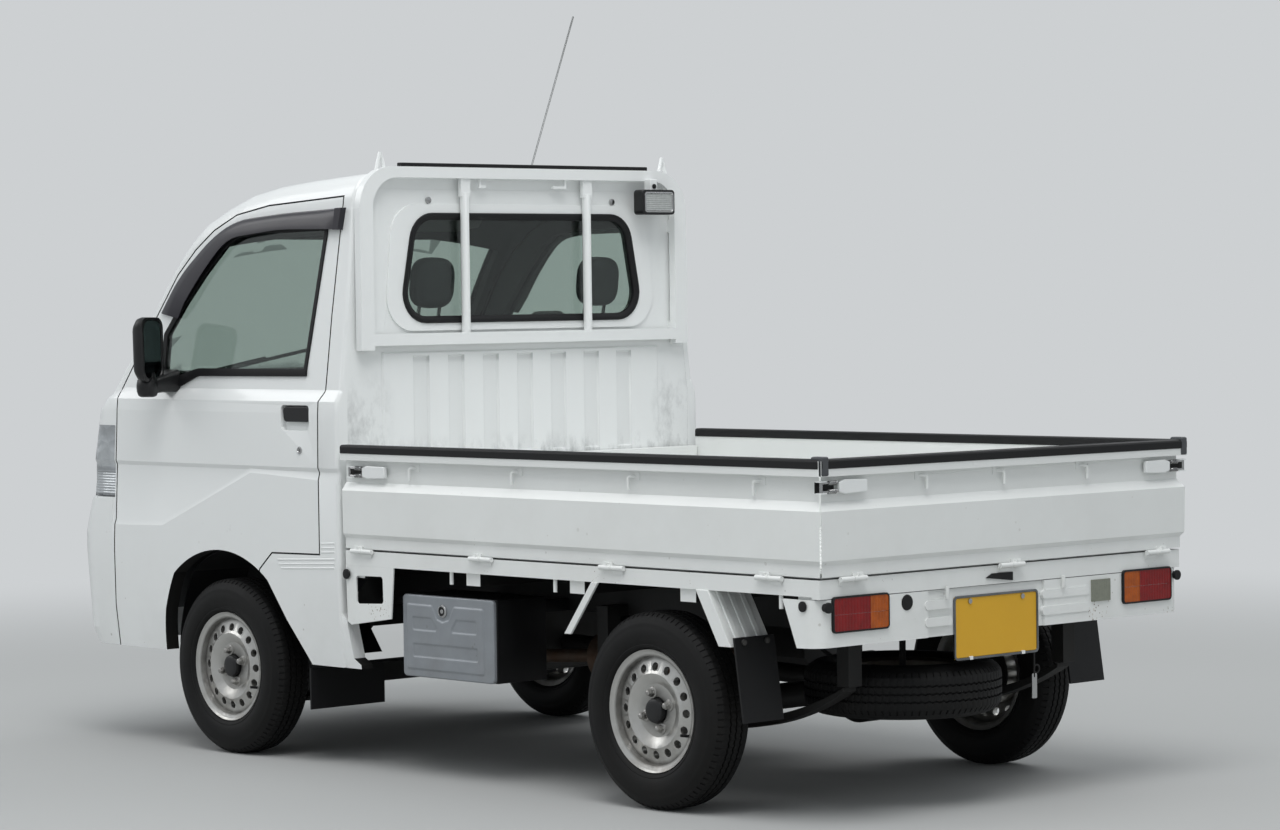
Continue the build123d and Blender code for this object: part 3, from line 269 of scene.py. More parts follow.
@dataclass(frozen=True)
class Finish:
    """One finish: what the real material is and how its surface was made.

    The base colour is broken up by a slow cloud, by grime that grows towards the ground and by worn places and
    painted shade, and the surface has a fine bump of the grain's real size.
    """

    name: str
    colour: str
    roughness: float
    metallic: float = 0.0
    coat: float = 0.0
    ior: float = 1.5
    shade: str = ""
    cloud_mm: float = 60.0
    grain_mm: float = 0.0
    grain_depth_mm: float = 0.05
    rough_swing: float = 0.08
    transmission: float = 0.0
    sheen: float = 0.0
    grime: Grime | None = None
    # Worn places and painted shade laid over the colour.
    wear_and_shade: WearAndShade = WearAndShade.NONE

    def material(self) -> bpy.types.Material:
        """Return this finish's material, made on first use."""
        name = self.name + "_look"
        if name in bpy.data.materials:
            return bpy.data.materials[name]
        made = bpy.data.materials.new(name)
        made.use_nodes = True
        tree = made.node_tree
        tree.nodes.clear()
        place = put(tree, "TexCoord", out="Object")
        noise = {"Vector": place, "Scale": 1000.0 / self.cloud_mm, "Detail": 4.0, "Roughness": 0.6}
        cloud = put(tree, "TexNoise", noise, "Fac")
        colour, rough = srgb(self.colour), self.roughness
        if self.shade:
            colour = put(tree, "Mix", {0: cloud, 6: colour, 7: srgb(self.shade)}, 2, data_type="RGBA")
        if self.rough_swing:
            low, high = max(rough - self.rough_swing, 0.02), min(rough + self.rough_swing, 1.0)
            rough = put(tree, "MapRange", (cloud, 0.0, 1.0, low, high))
        layers = [(self.grime.share(tree, place), self.grime.colour, 0.85)] if self.grime else []
        layers += self.wear_and_shade.layers(tree, place) if self.wear_and_shade is not WearAndShade.NONE else []
        for share, code, dull in layers:
            colour = put(tree, "Mix", {0: share, 6: colour, 7: srgb(code)}, 2, data_type="RGBA")
            if dull is not None:
                rough = put(tree, "Mix", {0: share, 2: rough, 3: dull}, data_type="FLOAT")
        inputs = {
            "Base Color": colour, "Roughness": rough, "Metallic": self.metallic, "IOR": self.ior,
            "Coat Weight": self.coat, "Coat Roughness": 0.08, "Transmission Weight": self.transmission,
            "Sheen Weight": self.sheen,
        }
        if self.wear_and_shade is WearAndShade.LAMP_SHADE_BANDS:
            relief = self._ribs_and_facets(tree, place)
            inputs["Normal"] = put(tree, "Bump", {"Height": relief, "Distance": mm(1.5), "Strength": 1.0})
        elif self.grain_mm:
            grain = put(tree, "TexNoise", {"Vector": place, "Scale": 1000.0 / self.grain_mm, "Detail": 2.0}, "Fac")
            depth = mm(self.grain_depth_mm)
            inputs["Normal"] = put(tree, "Bump", {"Height": grain, "Distance": depth, "Strength": 1.0})
        put(tree, "OutputMaterial", {"Surface": put(tree, "BsdfPrincipled", inputs)})
        return made

    @staticmethod
    def _ribs_and_facets(tree: Tree, place: Socket) -> Socket:
        """Return the height of a headlamp lens: a fine level sine low down, Voronoi facets in its bulge.

        Args:
            tree: The node tree.
            place: Object coordinates.

        Returns:
            The height.
        """
        height = put(tree, "SeparateXYZ", (place,), "Z")
        wave = put(tree, "Math", (height, 2.0 * math.pi / 0.0085), operation="MULTIPLY")
        wave = put(tree, "Math", (wave,), operation="SINE")
        ribs = put(tree, "Math", (wave, put(tree, "MapRange", (height, 0.858, 0.848, 0.0, 0.5))), operation="MULTIPLY")
        cells = put(tree, "TexVoronoi", {"Vector": place, "Scale": 26.0}, "Distance")
        bulge = put(tree, "MapRange", (height, 0.868, 0.885, 0.0, 2.2))
        facets = put(tree, "Math", (cells, bulge), operation="MULTIPLY")
        return put(tree, "Math", (ribs, facets), operation="ADD")


# Solid white enamel over steel: a clear, hard gloss with road dust low down.
WHITE_PAINT = Finish(
    "white_enamel", "eceeed", 0.32, coat=0.5, shade="f0f2f1", cloud_mm=400, rough_swing=0.05, grime=Grime()
)
# The cab's rear wall, rubbed by the load, with painted shade in its pressed channels.
WALL_PAINT = Finish(
    "wall_enamel", "eceeed", 0.36, coat=0.4, shade="f0f2f1", cloud_mm=400, rough_swing=0.05, wear_and_shade=WearAndShade.LOAD_SCUFFS_AND_CHANNEL_SHADE
)
# The bed's enamel is older: duller, with a film of dust that grows towards the ground, and chipped along its lower
# edges.
BED_PAINT = Finish(
    "bed_enamel", "e8eae8", 0.40, coat=0.3, shade="eef0ee", cloud_mm=300, wear_and_shade=WearAndShade.SILL_CHIPS,
    grime=Grime(film=0.16, high_z=1.0),
)
# Moulded black rubber: matt, with a faint grey bloom.
RUBBER = Finish("black_rubber", "0c0c0d", 0.55, ior=1.4, shade="151517", cloud_mm=40, grain_mm=2.5)
# Tyre rubber: vulcanised, dusty on the sidewall.
TYRE_RUBBER = Finish(
    "tyre_rubber", "0a0a0b", 0.62, ior=1.33, shade="111111", cloud_mm=50, grain_mm=2.0, grain_depth_mm=0.06,
    grime=Grime(colour="3b3731", film=0.13, specks=0.10, high_z=0.8),
)
# Grained black plastic of mirrors and handles.
BLACK_PLASTIC = Finish("grained_plastic", "0b0b0c", 0.40, shade="131315", grain_mm=1.6, grain_depth_mm=0.04)
# Black chassis paint under road dust; also laid as painted shade on body-coloured faces under the body and in the wheel
# arches.
CHASSIS_BLACK = Finish(
    "chassis_paint", "060606", 0.6, shade="0e0d0c", cloud_mm=90, grain_mm=4, grain_depth_mm=0.2,
    grime=Grime(colour="26221d", film=0.4, specks=0.2),
)
# Silver wheel lacquer on pressed steel, browned by brake dust, with painted shade in the hub's dish and the well inside
# the rim.
WHEEL_SILVER = Finish(
    "wheel_silver", "cfcecb", 0.30, metallic=0.88, shade="b9b8b4", cloud_mm=35, wear_and_shade=WearAndShade.BRAKE_DUST_AND_SHADE,
    grime=Grime(colour="6b5d47", film=0.45, film_mm=60, specks=0.25, speck_mm=5, low_z=0.08, high_z=0.30),
)
# The spare's rim, under the dust of the road.
SPARE_SILVER = Finish(
    "spare_silver", "77736c", 0.45, metallic=0.8, shade="5b564e", cloud_mm=50,
    grime=Grime(colour="3c352b", film=0.6, film_mm=70, specks=0.3, high_z=0.9),
)
# Toughened window glass with a green cast.
GLASS = Finish("window_glass", "cbd6d0", 0.02, transmission=1.0, ior=1.45, rough_swing=0.0)
# Woven cloth of the seats: matt, with a soft sheen at its edges.
SEAT_CLOTH = Finish("seat_cloth", "3a3c40", 0.9, shade="46484c", grain_mm=2.2, grain_depth_mm=0.25, sheen=0.3)
# Dark moulding of the cabin.
TRIM_PLASTIC = Finish("trim_plastic", "4a4b4c", 0.6, shade="555657", grain_mm=1.8, grain_depth_mm=0.06)
# Pale woven lining of the roof and rear wall.
HEADLINER = Finish("headliner", "8f918f", 0.9, shade="9a9c9a", grain_mm=3.0, grain_depth_mm=0.2, sheen=0.2)
# Moulded acrylic of the tail lamps: glossy, its colour deeper in patches.
RED_LENS = Finish("red_lens", "98060a", 0.07, shade="5c0205", cloud_mm=30)
AMBER_LENS = Finish("amber_lens", "c9610a", 0.07, shade="7a3404", cloud_mm=26)
# Yellow plate enamel.
PLATE_YELLOW = Finish("plate_enamel", "e0ad23", 0.4, shade="dba61c", cloud_mm=120)
# Grey hammered lid paint with a metal flake.
LID_GREY = Finish(
    "lid_grey", "9a9ea3", 0.40, metallic=0.35, shade="8b9095", cloud_mm=70,
    grime=Grime(colour="6d6759", film=0.3, film_mm=120, low_z=0.25, high_z=0.6),
)
# Aluminised exhaust steel going to rust.
EXHAUST_STEEL = Finish("exhaust_steel", "6a6259", 0.6, metallic=0.7, shade="5b3d2a", cloud_mm=50)
# Dark smoked acrylic of the door visors.
SMOKED_VISOR = Finish("smoked_acrylic", "15111a", 0.34, coat=0.12, shade="1b1722", rough_swing=0.04)
# Rubber gone grey on the tailgate's end caps.
GREY_RUBBER = Finish("grey_rubber", "3b3d40", 0.5, shade="515356", cloud_mm=18, grain_mm=2.0)
# A reversing lamp's lens, clear once and clouded since.
SMOKY_LENS = Finish("smoky_lens", "8c8f80", 0.15, coat=0.5, shade="6f7266", cloud_mm=20)
# Pressed and chromed frame of the plate.
DARK_CHROME = Finish("dark_chrome", "55585b", 0.22, metallic=1.0, shade="8e9194", cloud_mm=50)
# Bright reflectors behind a clear, slightly clouded lens, with painted shade in bands by height: dark at the lens's
# foot, grey above.
LAMP_BEZEL = Finish(
    "lamp_bezel", "d6dadd", 0.16, metallic=0.35, coat=0.6, shade="a9adb0", cloud_mm=34, wear_and_shade=WearAndShade.LAMP_SHADE_BANDS
)
# Silvered glass of the door mirrors.
MIRROR_GLASS = Finish("mirror_glass", "3f474a", 0.03, metallic=1.0, shade="394144", rough_swing=0.01)
# Vacuum-silvered plastic behind the tail lenses.
REFLECTOR = Finish("reflector", "d8dadb", 0.18, metallic=1.0)
# Ribbed glass of the work lamp, with the reflector close behind.
LAMP_GLASS = Finish("ribbed_glass", "c9ccca", 0.12, metallic=0.35, coat=0.8, shade="9c9f9d", cloud_mm=12)
# Zinc-plated wheel nuts, dulled by the road.
NUT_STEEL = Finish("nut_steel", "b4b3b0", 0.34, metallic=0.85, shade="8c8a86", cloud_mm=14)
# Drawn and polished steel.
BRIGHT_STEEL = Finish("bright_steel", "b8b8b8", 0.25, metallic=1.0)
# Sand-cast metal: dull and grainy.
CAST_METAL = Finish("cast_metal", "5c5d5e", 0.55, metallic=0.6, shade="45423d", cloud_mm=80, grain_mm=3)


def new_object(name: str, mesh: bpy.types.Mesh, finish: Finish, body: str) -> Piece:
    """Link a mesh as a piece that rides on a body.

    Args:
        name: The piece's name.
        mesh: Its mesh, in place.
        finish: What it is made of.
        body: The body that carries it.

    Returns:
        The piece, at the origin.
    """
    piece = bpy.data.objects.new(name, mesh)
    bpy.context.scene.collection.objects.link(piece)
    mesh.materials.clear()
    mesh.materials.append(finish.material())
    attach(piece, body)
    LOG.info("%s rides on %s", name, body)
    return piece


def add_bevel(piece: Piece, width_mm: float, from_deg: float) -> None:
    """Round a piece's edges that are sharper than an angle.

    Args:
        piece: The piece.
        width_mm: How wide its edges are rounded.
        from_deg: The angle.
    """
    bevel = piece.modifiers.new("edge_rounding", "BEVEL")
    bevel.width = mm(width_mm)
    bevel.segments = 2
    bevel.limit_method = "ANGLE"
    bevel.angle_limit = math.radians(from_deg)
    bevel.harden_normals = True
    bevel.use_clamp_overlap = True


def upright(flat: Iterable[Sequence[float]], axis: int, value: float | Array) -> Array:
    """Return flat points in space.

    Args:
        flat: Their other two coordinates, in axis order.
        axis: The axis that they lack.
        value: Their coordinate along it, or one for each of them.
    """
    return np.insert(np.asarray(flat, dtype=float), axis, value, axis=1)


def rounded(outline: Iterable[Sequence[float]], radius: float, steps: int = 7) -> Array:
    """Round the corners of a closed outline, each with an arc that touches both its sides.

    Args:
        outline: Its corners, in order.
        radius: The radius of every corner.
        steps: How many points stand for one corner's arc.

    Returns:
        The rounded outline's points.
    """
    corners = np.array(outline, dtype=float)
    back, ahead = np.roll(corners, 1, axis=0) - corners, np.roll(corners, -1, axis=0) - corners
    back /= np.linalg.norm(back, axis=1, keepdims=True)
    ahead /= np.linalg.norm(ahead, axis=1, keepdims=True)
    half = np.arccos(np.clip((back * ahead).sum(axis=1), -1.0, 1.0))[:, None] / 2.0
    middle = back + ahead
    middle = corners + middle / np.linalg.norm(middle, axis=1, keepdims=True) * radius / np.sin(half)
    start = corners + back * radius / np.tan(half) - middle
    end = corners + ahead * radius / np.tan(half) - middle
    first = np.arctan2(start[:, 1], start[:, 0])
    turn = (np.arctan2(end[:, 1], end[:, 0]) - first + math.pi) % (2.0 * math.pi) - math.pi
    angle = first[:, None] + turn[:, None] * np.linspace(0.0, 1.0, steps)
    return (middle[:, None] + radius * np.stack((np.cos(angle), np.sin(angle)), axis=2)).reshape(-1, 2)


def grown(outline: Array, distance: float) -> Array:
    """Return a closed outline moved outwards along the mean normal of each corner's two sides.

    Args:
        outline: Its corners, in order.
        distance: How far it moves.
    """
    ahead = np.roll(outline, -1, axis=0) - outline
    ahead /= np.maximum(np.linalg.norm(ahead, axis=1, keepdims=True), 1e-9)
    behind = np.roll(ahead, 1, axis=0)
    area = np.sum(outline[:, 0] * np.roll(outline[:, 1], -1) - np.roll(outline[:, 0], -1) * outline[:, 1])
    normal = np.stack((ahead[:, 1] + behind[:, 1], -(ahead[:, 0] + behind[:, 0])), axis=1)
    normal /= np.maximum(np.linalg.norm(normal, axis=1, keepdims=True), 1e-9)
    return outline + normal * (1.0 if area > 0 else -1.0) * distance


def dense(outline: Array, steps: int) -> Array:
    """Return a closed outline with every side cut into a number of steps.

    Args:
        outline: Its corners, in order.
        steps: How many steps a side has.
    """
    ends = np.roll(outline, -1, axis=0)
    return np.linspace(outline, ends, steps + 1, axis=1)[:, :-1].reshape(-1, 2)


def resample(line_mm: Iterable[Sequence[float]], count: int) -> Array:
    """Return points spread evenly along a line, its corners eased by a moving average.

    Args:
        line_mm: The line's corners in millimetres.
        count: How many points to return.
    """
    corners = scaled(line_mm)
    along = np.concatenate(([0.0], np.cumsum(np.linalg.norm(np.diff(corners, axis=0), axis=1))))
    fine = np.linspace(0.0, along[-1], count * 8)
    line = np.stack([np.interp(fine, along, corners[:, i]) for i in range(2)], axis=1)
    reach = count // 2
    padded = np.vstack((np.repeat(line[:1], reach, axis=0), line, np.repeat(line[-1:], reach, axis=0)))
    kernel = np.ones(2 * reach + 1) / (2 * reach + 1)
    eased = np.stack([np.convolve(padded[:, i], kernel, mode="valid") for i in range(2)], axis=1)
    return eased[np.linspace(0, len(eased) - 1, count).astype(int)]


def signed_distance(outline: Array, spots: Array) -> Array:
    """Return how far each spot lies outside an outline, negative inside it, by the nearest of its sides.

    Args:
        outline: The closed outline's corners.
        spots: The spots, one row each.
    """
    near = np.full(len(spots), np.inf)
    inside = np.zeros(len(spots), dtype=bool)
    for start, end in zip(outline, np.roll(outline, -1, axis=0)):
        run = end - start
        share = np.clip(((spots - start) @ run) / (run @ run), 0.0, 1.0)
        near = np.minimum(near, np.linalg.norm(spots - start - share[:, None] * run, axis=1))
        crosses = (start[1] > spots[:, 1]) != (end[1] > spots[:, 1])
        with np.errstate(divide="ignore", invalid="ignore"):
            meets = (end[0] - start[0]) * (spots[:, 1] - start[1]) / (end[1] - start[1]) + start[0]
        inside ^= crosses & (spots[:, 0] < meets)
    return np.where(inside, -near, near)


def step_down(distance: Array, width: float) -> Array:
    """Return 1 well inside an outline and 0 well outside, by a cubic over a width.

    Args:
        distance: The signed distance from the outline.
        width: The width of the step.
    """
    share = np.clip(0.5 - distance / width, 0.0, 1.0)
    return share * share * (3.0 - 2.0 * share)


@dataclass
class Frame:
    """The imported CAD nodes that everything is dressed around."""

    nodes: dict[str, Piece] = field(default_factory=dict)

    def mesh(self, names: Sequence[str]) -> bmesh.types.BMesh:
        """Return some nodes' triangles in one mesh, in place.

        Args:
            names: The nodes' names.
        """
        work = bmesh.new()
        for name in names:
            part = self.nodes[name].data.copy()
            part.transform(self.nodes[name].matrix_world)
            work.from_mesh(part)
            bpy.data.meshes.remove(part)
        return work


FRAME = Frame()


class Skin:
    """The outer surface of some CAD nodes, looked at along one axis."""

    def __init__(self, nodes: Sequence[str], way: Point) -> None:
        """Gather the nodes' triangles.

        Args:
            nodes: The CAD nodes' names.
            way: The direction of looking, along an axis.
        """
        work = FRAME.mesh(nodes)
        self.tree = BVHTree.FromBMesh(work)
        work.free()
        self.way = Vector(way)
        self.axis = int(np.argmax(np.abs(np.array(way))))

    def place(self, flat: Iterable[Sequence[float]], lift: float = 0.0) -> Array:
        """Drop flat points onto the surface.

        Args:
            flat: The two coordinates other than the looking axis, in axis order.
            lift: How far above the surface the points end, along its normal.

        Returns:
            The points in space. Those that miss the surface take their neighbour's depth.
        """
        spots = upright(flat, self.axis, 0.0)
        known = []
        for i, spot in enumerate(spots):
            hit, normal, _, _ = self.tree.ray_cast(Vector(spot) - self.way * 4.0, self.way)
            if hit is not None:
                spots[i] = hit + normal * (-lift if normal.dot(self.way) > 0 else lift)
                known.append(i)
        for i in set(range(len(spots))) - set(known):
            near = min(known, key=lambda k: min(abs(k - i), len(spots) - abs(k - i)))
            spots[i, self.axis] = spots[near, self.axis]
        return spots


@dataclass
class Form:
    """Points and faces gathered from simple forms, made into one piece at the end.

    Every method that adds something returns the whole, so that calls can follow one another.
    """

    points: list[Array] = field(default_factory=list)
    faces: list[list[int]] = field(default_factory=list)
    count: int = 0

    def add(self, points: Array, faces: Iterable[Sequence[int]]) -> Form:
        """Add one closed form.

        Args:
            points: Its points, one row each.
            faces: Its faces, as indices of those rows.
        """
        self.points.append(points)
        self.faces += [[int(i) + self.count for i in face] for face in faces]
        self.count += len(points)
        return self

    def box(self, low: Point, high: Point) -> Form:
        """Add a box between two corners."""
        corners = np.stack(np.meshgrid(*zip(low, high), indexing="ij"), axis=-1).reshape(-1, 3)
        return self.add(corners, ((0, 1, 3, 2), (4, 6, 7, 5), (0, 4, 5, 1), (2, 3, 7, 6), (0, 2, 6, 4), (1, 5, 7, 3)))

    def prism(self, outline: Array, depth: Iterable[float]) -> Form:
        """Push a flat outline along a depth."""
        return self.sweep(np.stack((outline, outline + np.array(depth))), closed=False)

    def sweep(self, frames: Array, closed: bool = True) -> Form:
        """Skin a row of equal loops.

        Args:
            frames: Loops of points, indexed by loop, point and coordinate.
            closed: Whether the last loop joins the first one; if not, both ends are capped.
        """
        grid = np.arange(frames.shape[0] * frames.shape[1]).reshape(frames.shape[:2])
        here = grid if closed else grid[:-1]
        there = np.roll(grid, -1, axis=0)[: len(here)]
        faces = np.stack((here, np.roll(here, -1, axis=1), np.roll(there, -1, axis=1), there), axis=2)
        caps = [] if closed else [grid[0][::-1], grid[-1]]
        return self.add(frames.reshape(-1, 3), [*faces.reshape(-1, 4).tolist(), *caps])

    def tube(self, path: Sequence[Sequence[float]], radius: float, sides: int = 12) -> Form:
        """Add a round rod along a path of straight runs: at each corner a circle across the mean way.

        Args:
            path: The middle line's points.
            radius: The rod's radius.
            sides: How many flats stand for the round.
        """
        line = np.array(path, dtype=float)
        steps = np.diff(line, axis=0)
        steps /= np.linalg.norm(steps, axis=1, keepdims=True)
        lead = np.vstack((steps[:1], steps[:-1] + steps[1:], steps[-1:]))
        lead /= np.linalg.norm(lead, axis=1, keepdims=True)
        across = np.cross(lead[0], UP)
        if np.linalg.norm(across) < 0.2:
            across = np.cross(lead[0], (0.0, 1.0, 0.0))
        turn = np.linspace(0.0, 2.0 * math.pi, sides, endpoint=False)
        loops = []
        for spot, ahead in zip(line, lead):
            across = across - ahead * np.dot(across, ahead)
            across /= np.linalg.norm(across)
            other = np.cross(ahead, across)
            loops.append(spot + radius * (np.outer(np.cos(turn), across) + np.outer(np.sin(turn), other)))
        return self.sweep(np.array(loops), closed=False)

    def lathe(self, profile: Iterable[Sequence[float]], centre: Iterable[float], axis: Point, sides: int = 32) -> Form:
        """Turn a profile that starts and ends on the axis.

        Args:
            profile: Radius and distance along the axis, in order.
            centre: Where the distance is nought.
            axis: The way along the axis.
            sides: How many flats stand for the round.
        """
        ahead = np.array(axis, dtype=float)
        ahead /= np.linalg.norm(ahead)
        across = np.cross(ahead, UP if abs(ahead[2]) < 0.9 else (1.0, 0.0, 0.0))
        across /= np.linalg.norm(across)
        turn = np.linspace(0.0, 2.0 * math.pi, sides, endpoint=False)
        ring = np.outer(np.cos(turn), across) + np.outer(np.sin(turn), np.cross(ahead, across))
        radii, steps = np.array(profile, dtype=float).T[:, :, None, None]
        return self.sweep(np.array(centre) + ahead * steps + ring * np.maximum(radii, 1e-5), closed=False)

    def stud(self, spot: Iterable[float], way: Point, radius: float, height: float, flare: float = 1.0) -> Form:
        """Add a round stop or bolt head that stands on a surface.

        Args:
            spot: Where it stands.
            way: The way it points.
            radius: Its head's radius.
            height: How far it stands out.
            flare: Its foot's radius as a share of the head's.
        """
        foot = radius * flare
        profile = (
            (0.0, -0.004), (foot, -0.004), (foot, height * 0.35), (radius, height * 0.5), (radius, height * 0.9),
            (radius * 0.85, height), (0.0, height),
        )
        return self.lathe(profile, spot, way, 20)

    def gasket(self, skin: Skin, outline: Array, section: Iterable[Pair]) -> Form:
        """Lay a rubber profile round an outline on a surface.

        Args:
            skin: The surface.
            outline: The closed outline, in the skin's flat coordinates.
            section: Distance outwards and height above the surface, in order round the profile.
        """
        return self.sweep(np.stack([skin.place(grown(outline, out), lift) for out, lift in section], axis=1))

    def rim(self, outline: Array, section: Iterable[Pair]) -> Form:
        """Lay a profile round an outline that faces along X.

        Args:
            outline: The closed outline, as Y and Z.
            section: Distance outwards and X, in order round the profile.
        """
        return self.sweep(np.stack([upright(grown(outline, out), 0, x) for out, x in section], axis=1))

    def build(
        self, name: str, finish: Finish, body: str = "truck", bevel_mm: float = 0.0, smooth_deg: float = 30.0
    ) -> Piece:
        """Make the gathered forms one piece.

        Args:
            name: The piece's name.
            finish: What it is made of.
            body: The body that it rides on.
            bevel_mm: How wide its edges are rounded.
            smooth_deg: The angle past which an edge stays sharp.

        Returns:
            The piece.
        """
        mesh = bpy.data.meshes.new(name)
        mesh.from_pydata(np.vstack(self.points).tolist(), [], self.faces)
        work = bmesh.new()
        work.from_mesh(mesh)
        bmesh.ops.remove_doubles(work, verts=work.verts, dist=2e-5)
        bmesh.ops.recalc_face_normals(work, faces=work.faces)
        work.to_mesh(mesh)
        work.free()
        mesh.shade_smooth()
        mesh.set_sharp_from_angle(angle=math.radians(smooth_deg))
        piece = new_object(name, mesh, finish, body)
        if bevel_mm:
            add_bevel(piece, bevel_mm, smooth_deg)
        return piece



class Region(Enum):
    """A part of a panel's surface that has a finish of its own; the underside's and the door gap's dark finishes are
    painted shade.
    """

    CABIN = auto()
    SHADED_UNDERSIDE = auto()
    SHADED_DOOR_GAP = auto()

    def holds(self, spot: Vector, normal: Vector) -> bool:
        """Return whether a face belongs to the region.

        The cabin's faces look at its middle. The door gap's, white edges given a dark finish as painted shade, lie
        within 6 mm of the door's outline. The underside, body-coloured faces given a dark finish as painted shade, is
        the wheel arches, the inner sills and the cross members.

        Args:
            spot: The face's middle.
            normal: Its normal.
        """
        if self is Region.CABIN:
            return spot.z > 0.62 and normal.dot((spot - CAB_MIDDLE).normalized()) < -0.25
        # Faces in the door's gap, given a dark finish as painted shade.
        if self is Region.SHADED_DOOR_GAP:
            if abs(normal.y) > 0.5 or abs(spot.y) < 0.5 or spot.x < 0.32:
                return False
            here, starts = np.array((spot.x, spot.z)), scaled(DOOR_MM)
            runs = np.roll(starts, -1, axis=0) - starts
            shares = np.clip(((here - starts) * runs).sum(axis=1) / (runs**2).sum(axis=1), 0.0, 1.0)
            return bool(np.min(np.linalg.norm(starts + runs * shares[:, None] - here, axis=1)[:-1]) < 0.006)
        if spot.x < -1.66:
            return False
        low = spot.z < 0.655
        wheel = Vector((FRONT_AXLE_X - spot.x, 0.0, WHEEL_R - spot.z))
        arch = 0.42 < spot.x < 1.27 and wheel.length > 0.0 and normal.dot(wheel.normalized()) > 0.5 and spot.z < 0.64
        inwards = low and normal.y * spot.y < -0.3 * abs(spot.y)
        downwards = normal.z < -0.6 and abs(spot.y) < 0.70
        member = abs(spot.y) < 0.69 and spot.x < 0.25
        return arch or inwards or (low and abs(spot.y) < 0.719 and (downwards or member))


@dataclass(frozen=True)
class Panel:
    """A CAD node shown as a merged copy, with rounded edges and smooth curves."""

    node: str
    finish: Finish
    body: str = "truck"
    bevel_mm: float = 1.5
    smooth_deg: float = 24.0
    drops: tuple[tuple[Point, Point], ...] = ()
    inner: Finish | None = None
    # A dark finish laid as painted shade under the body and in the wheel arches.
    under: Finish | None = None
    # A dark finish laid as painted shade on the white edges in the door's gap.
    edge: Finish | None = None

    def build(self) -> None:
        """Merge the node's triangles, join flat ones, round the edges and stand in for the node."""
        work = FRAME.mesh((self.node,))
        bmesh.ops.remove_doubles(work, verts=work.verts, dist=2e-5)
        for low, high in self.drops:
            self._drop(work, low, high)
        bmesh.ops.dissolve_limit(work, angle_limit=math.radians(0.6), verts=work.verts, edges=work.edges)
        mesh = bpy.data.meshes.new(self.node + "_shown")
        work.to_mesh(mesh)
        work.free()
        mesh.shade_smooth()
        mesh.set_sharp_from_angle(angle=math.radians(self.smooth_deg))
        piece = new_object(mesh.name, mesh, self.finish, self.body)
        regions = ((self.inner, Region.CABIN), (self.under, Region.SHADED_UNDERSIDE), (self.edge, Region.SHADED_DOOR_GAP))
        for number, (finish, region) in enumerate(regions, 1):
            mesh.materials.append((finish or self.finish).material())
            for face in mesh.polygons if finish else ():
                if region.holds(face.center, face.normal):
                    face.material_index = number
        if self.bevel_mm:
            add_bevel(piece, self.bevel_mm, self.smooth_deg)
        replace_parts(piece, self.node)

    @staticmethod
    def _drop(work: bmesh.types.BMesh, low: Point, high: Point) -> None:
        """Take away the faces whose middle lies in a box, and close the holes that they leave.

        Args:
            work: The mesh.
            low: The box's lowest corner.
            high: Its highest corner.
        """
        middles = [(face, face.calc_center_median()) for face in work.faces]
        gone = [face for face, middle in middles if all(low[i] < middle[i] < high[i] for i in range(3))]
        bmesh.ops.delete(work, geom=gone, context="FACES")
        rims = [edge for edge in work.edges if edge.is_boundary]
        if rims:
            bmesh.ops.holes_fill(work, edges=rims, sides=0)
        bmesh.ops.delete(work, geom=[vert for vert in work.verts if not vert.link_faces], context="VERTS")


@dataclass(frozen=True)
class Tyre:
    """A tyre with its tread, swept round the wheel's axis.

    Three zigzag grooves swing sideways with the share of each pitch, and slots cut the shoulders and
    score the ribs. The section is in millimetres: radius and distance outwards.
    """

    name: str
    node: str
    body: str
    centre: Point
    axis: int = 1
    sidewall_mm: tuple[Pair, ...] = (
        (153, 47), (166.5, 52.5), (168, 58), (172, 62.5), (175, 65.5), (179, 67), (181, 66.4), (186, 69.4),
        (196, 71.8), (205, 72.8), (214, 73), (224, 71.2), (233, 68.6), (236, 68.6), (240, 66.2), (247, 62.4),
        (252, 58.8), (255, 56.8),
    )
    crown_mm: tuple[Pair, ...] = ((268, 0), (268, 28), (266, 43), (258, 54), (255, 56.8))
    grooves_mm: tuple[float, ...] = (-21.0, 0.0, 21.0)
    pitches: int = 84
    shares: tuple[float, ...] = (0.0, 0.12, 0.17, 0.32, 0.37, 0.62, 0.82)
    slots: tuple[int, ...] = (2, 3)

    def section(self, share: float, slotted: bool) -> Array:
        """Return the section at one place, from the inner bead round the tread to the outer bead.

        Args:
            share: How far round its pitch the place is, 0 to 1.
            slotted: Whether a slot crosses the tread there.
        """
        radii, outs = np.array(self.crown_mm).T
        swing = 1.9 * (1.0 - 4.0 * abs(share - 0.5))
        shoulder = [(out, 3.4 if slotted and out > 43.9 else 0.0) for out in (43.5, 44.5, 50.0, 56.0)]
        score = 1.2 * slotted
        places = [(-out, depth) for out, depth in shoulder[::-1]]
        for middle in self.grooves_mm:
            for shift, depth in ((-8.0, score), (-2.9, 0.0), (-2.1, 6.5), (2.1, 6.5), (2.9, 0.0), (8.0, score)):
                places.append((middle + shift + (swing if abs(shift) < 5.0 else 0.4 * swing), depth))
        tread = [(np.interp(abs(out), outs, radii) - depth, out) for out, depth in places + shoulder]
        return scaled([*((radius, -out) for radius, out in self.sidewall_mm), *tread, *self.sidewall_mm[::-1]])

    def build(self) -> None:
        """Sweep the section round and stand in for the plain solid."""
        loops = []
        for pitch in range(self.pitches):
            for number, share in enumerate(self.shares):
                section = self.section(share, number in self.slots)
                turn = 2.0 * math.pi * (pitch + share) / self.pitches
                flat = np.outer(section[:, 0], (math.cos(turn), math.sin(turn)))
                loops.append(upright(flat, self.axis, section[:, 1]) + np.array(self.centre))
        piece = Form().sweep(np.array(loops)).build(self.name, TYRE_RUBBER, self.body, smooth_deg=34.0)
        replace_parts(piece, self.node)


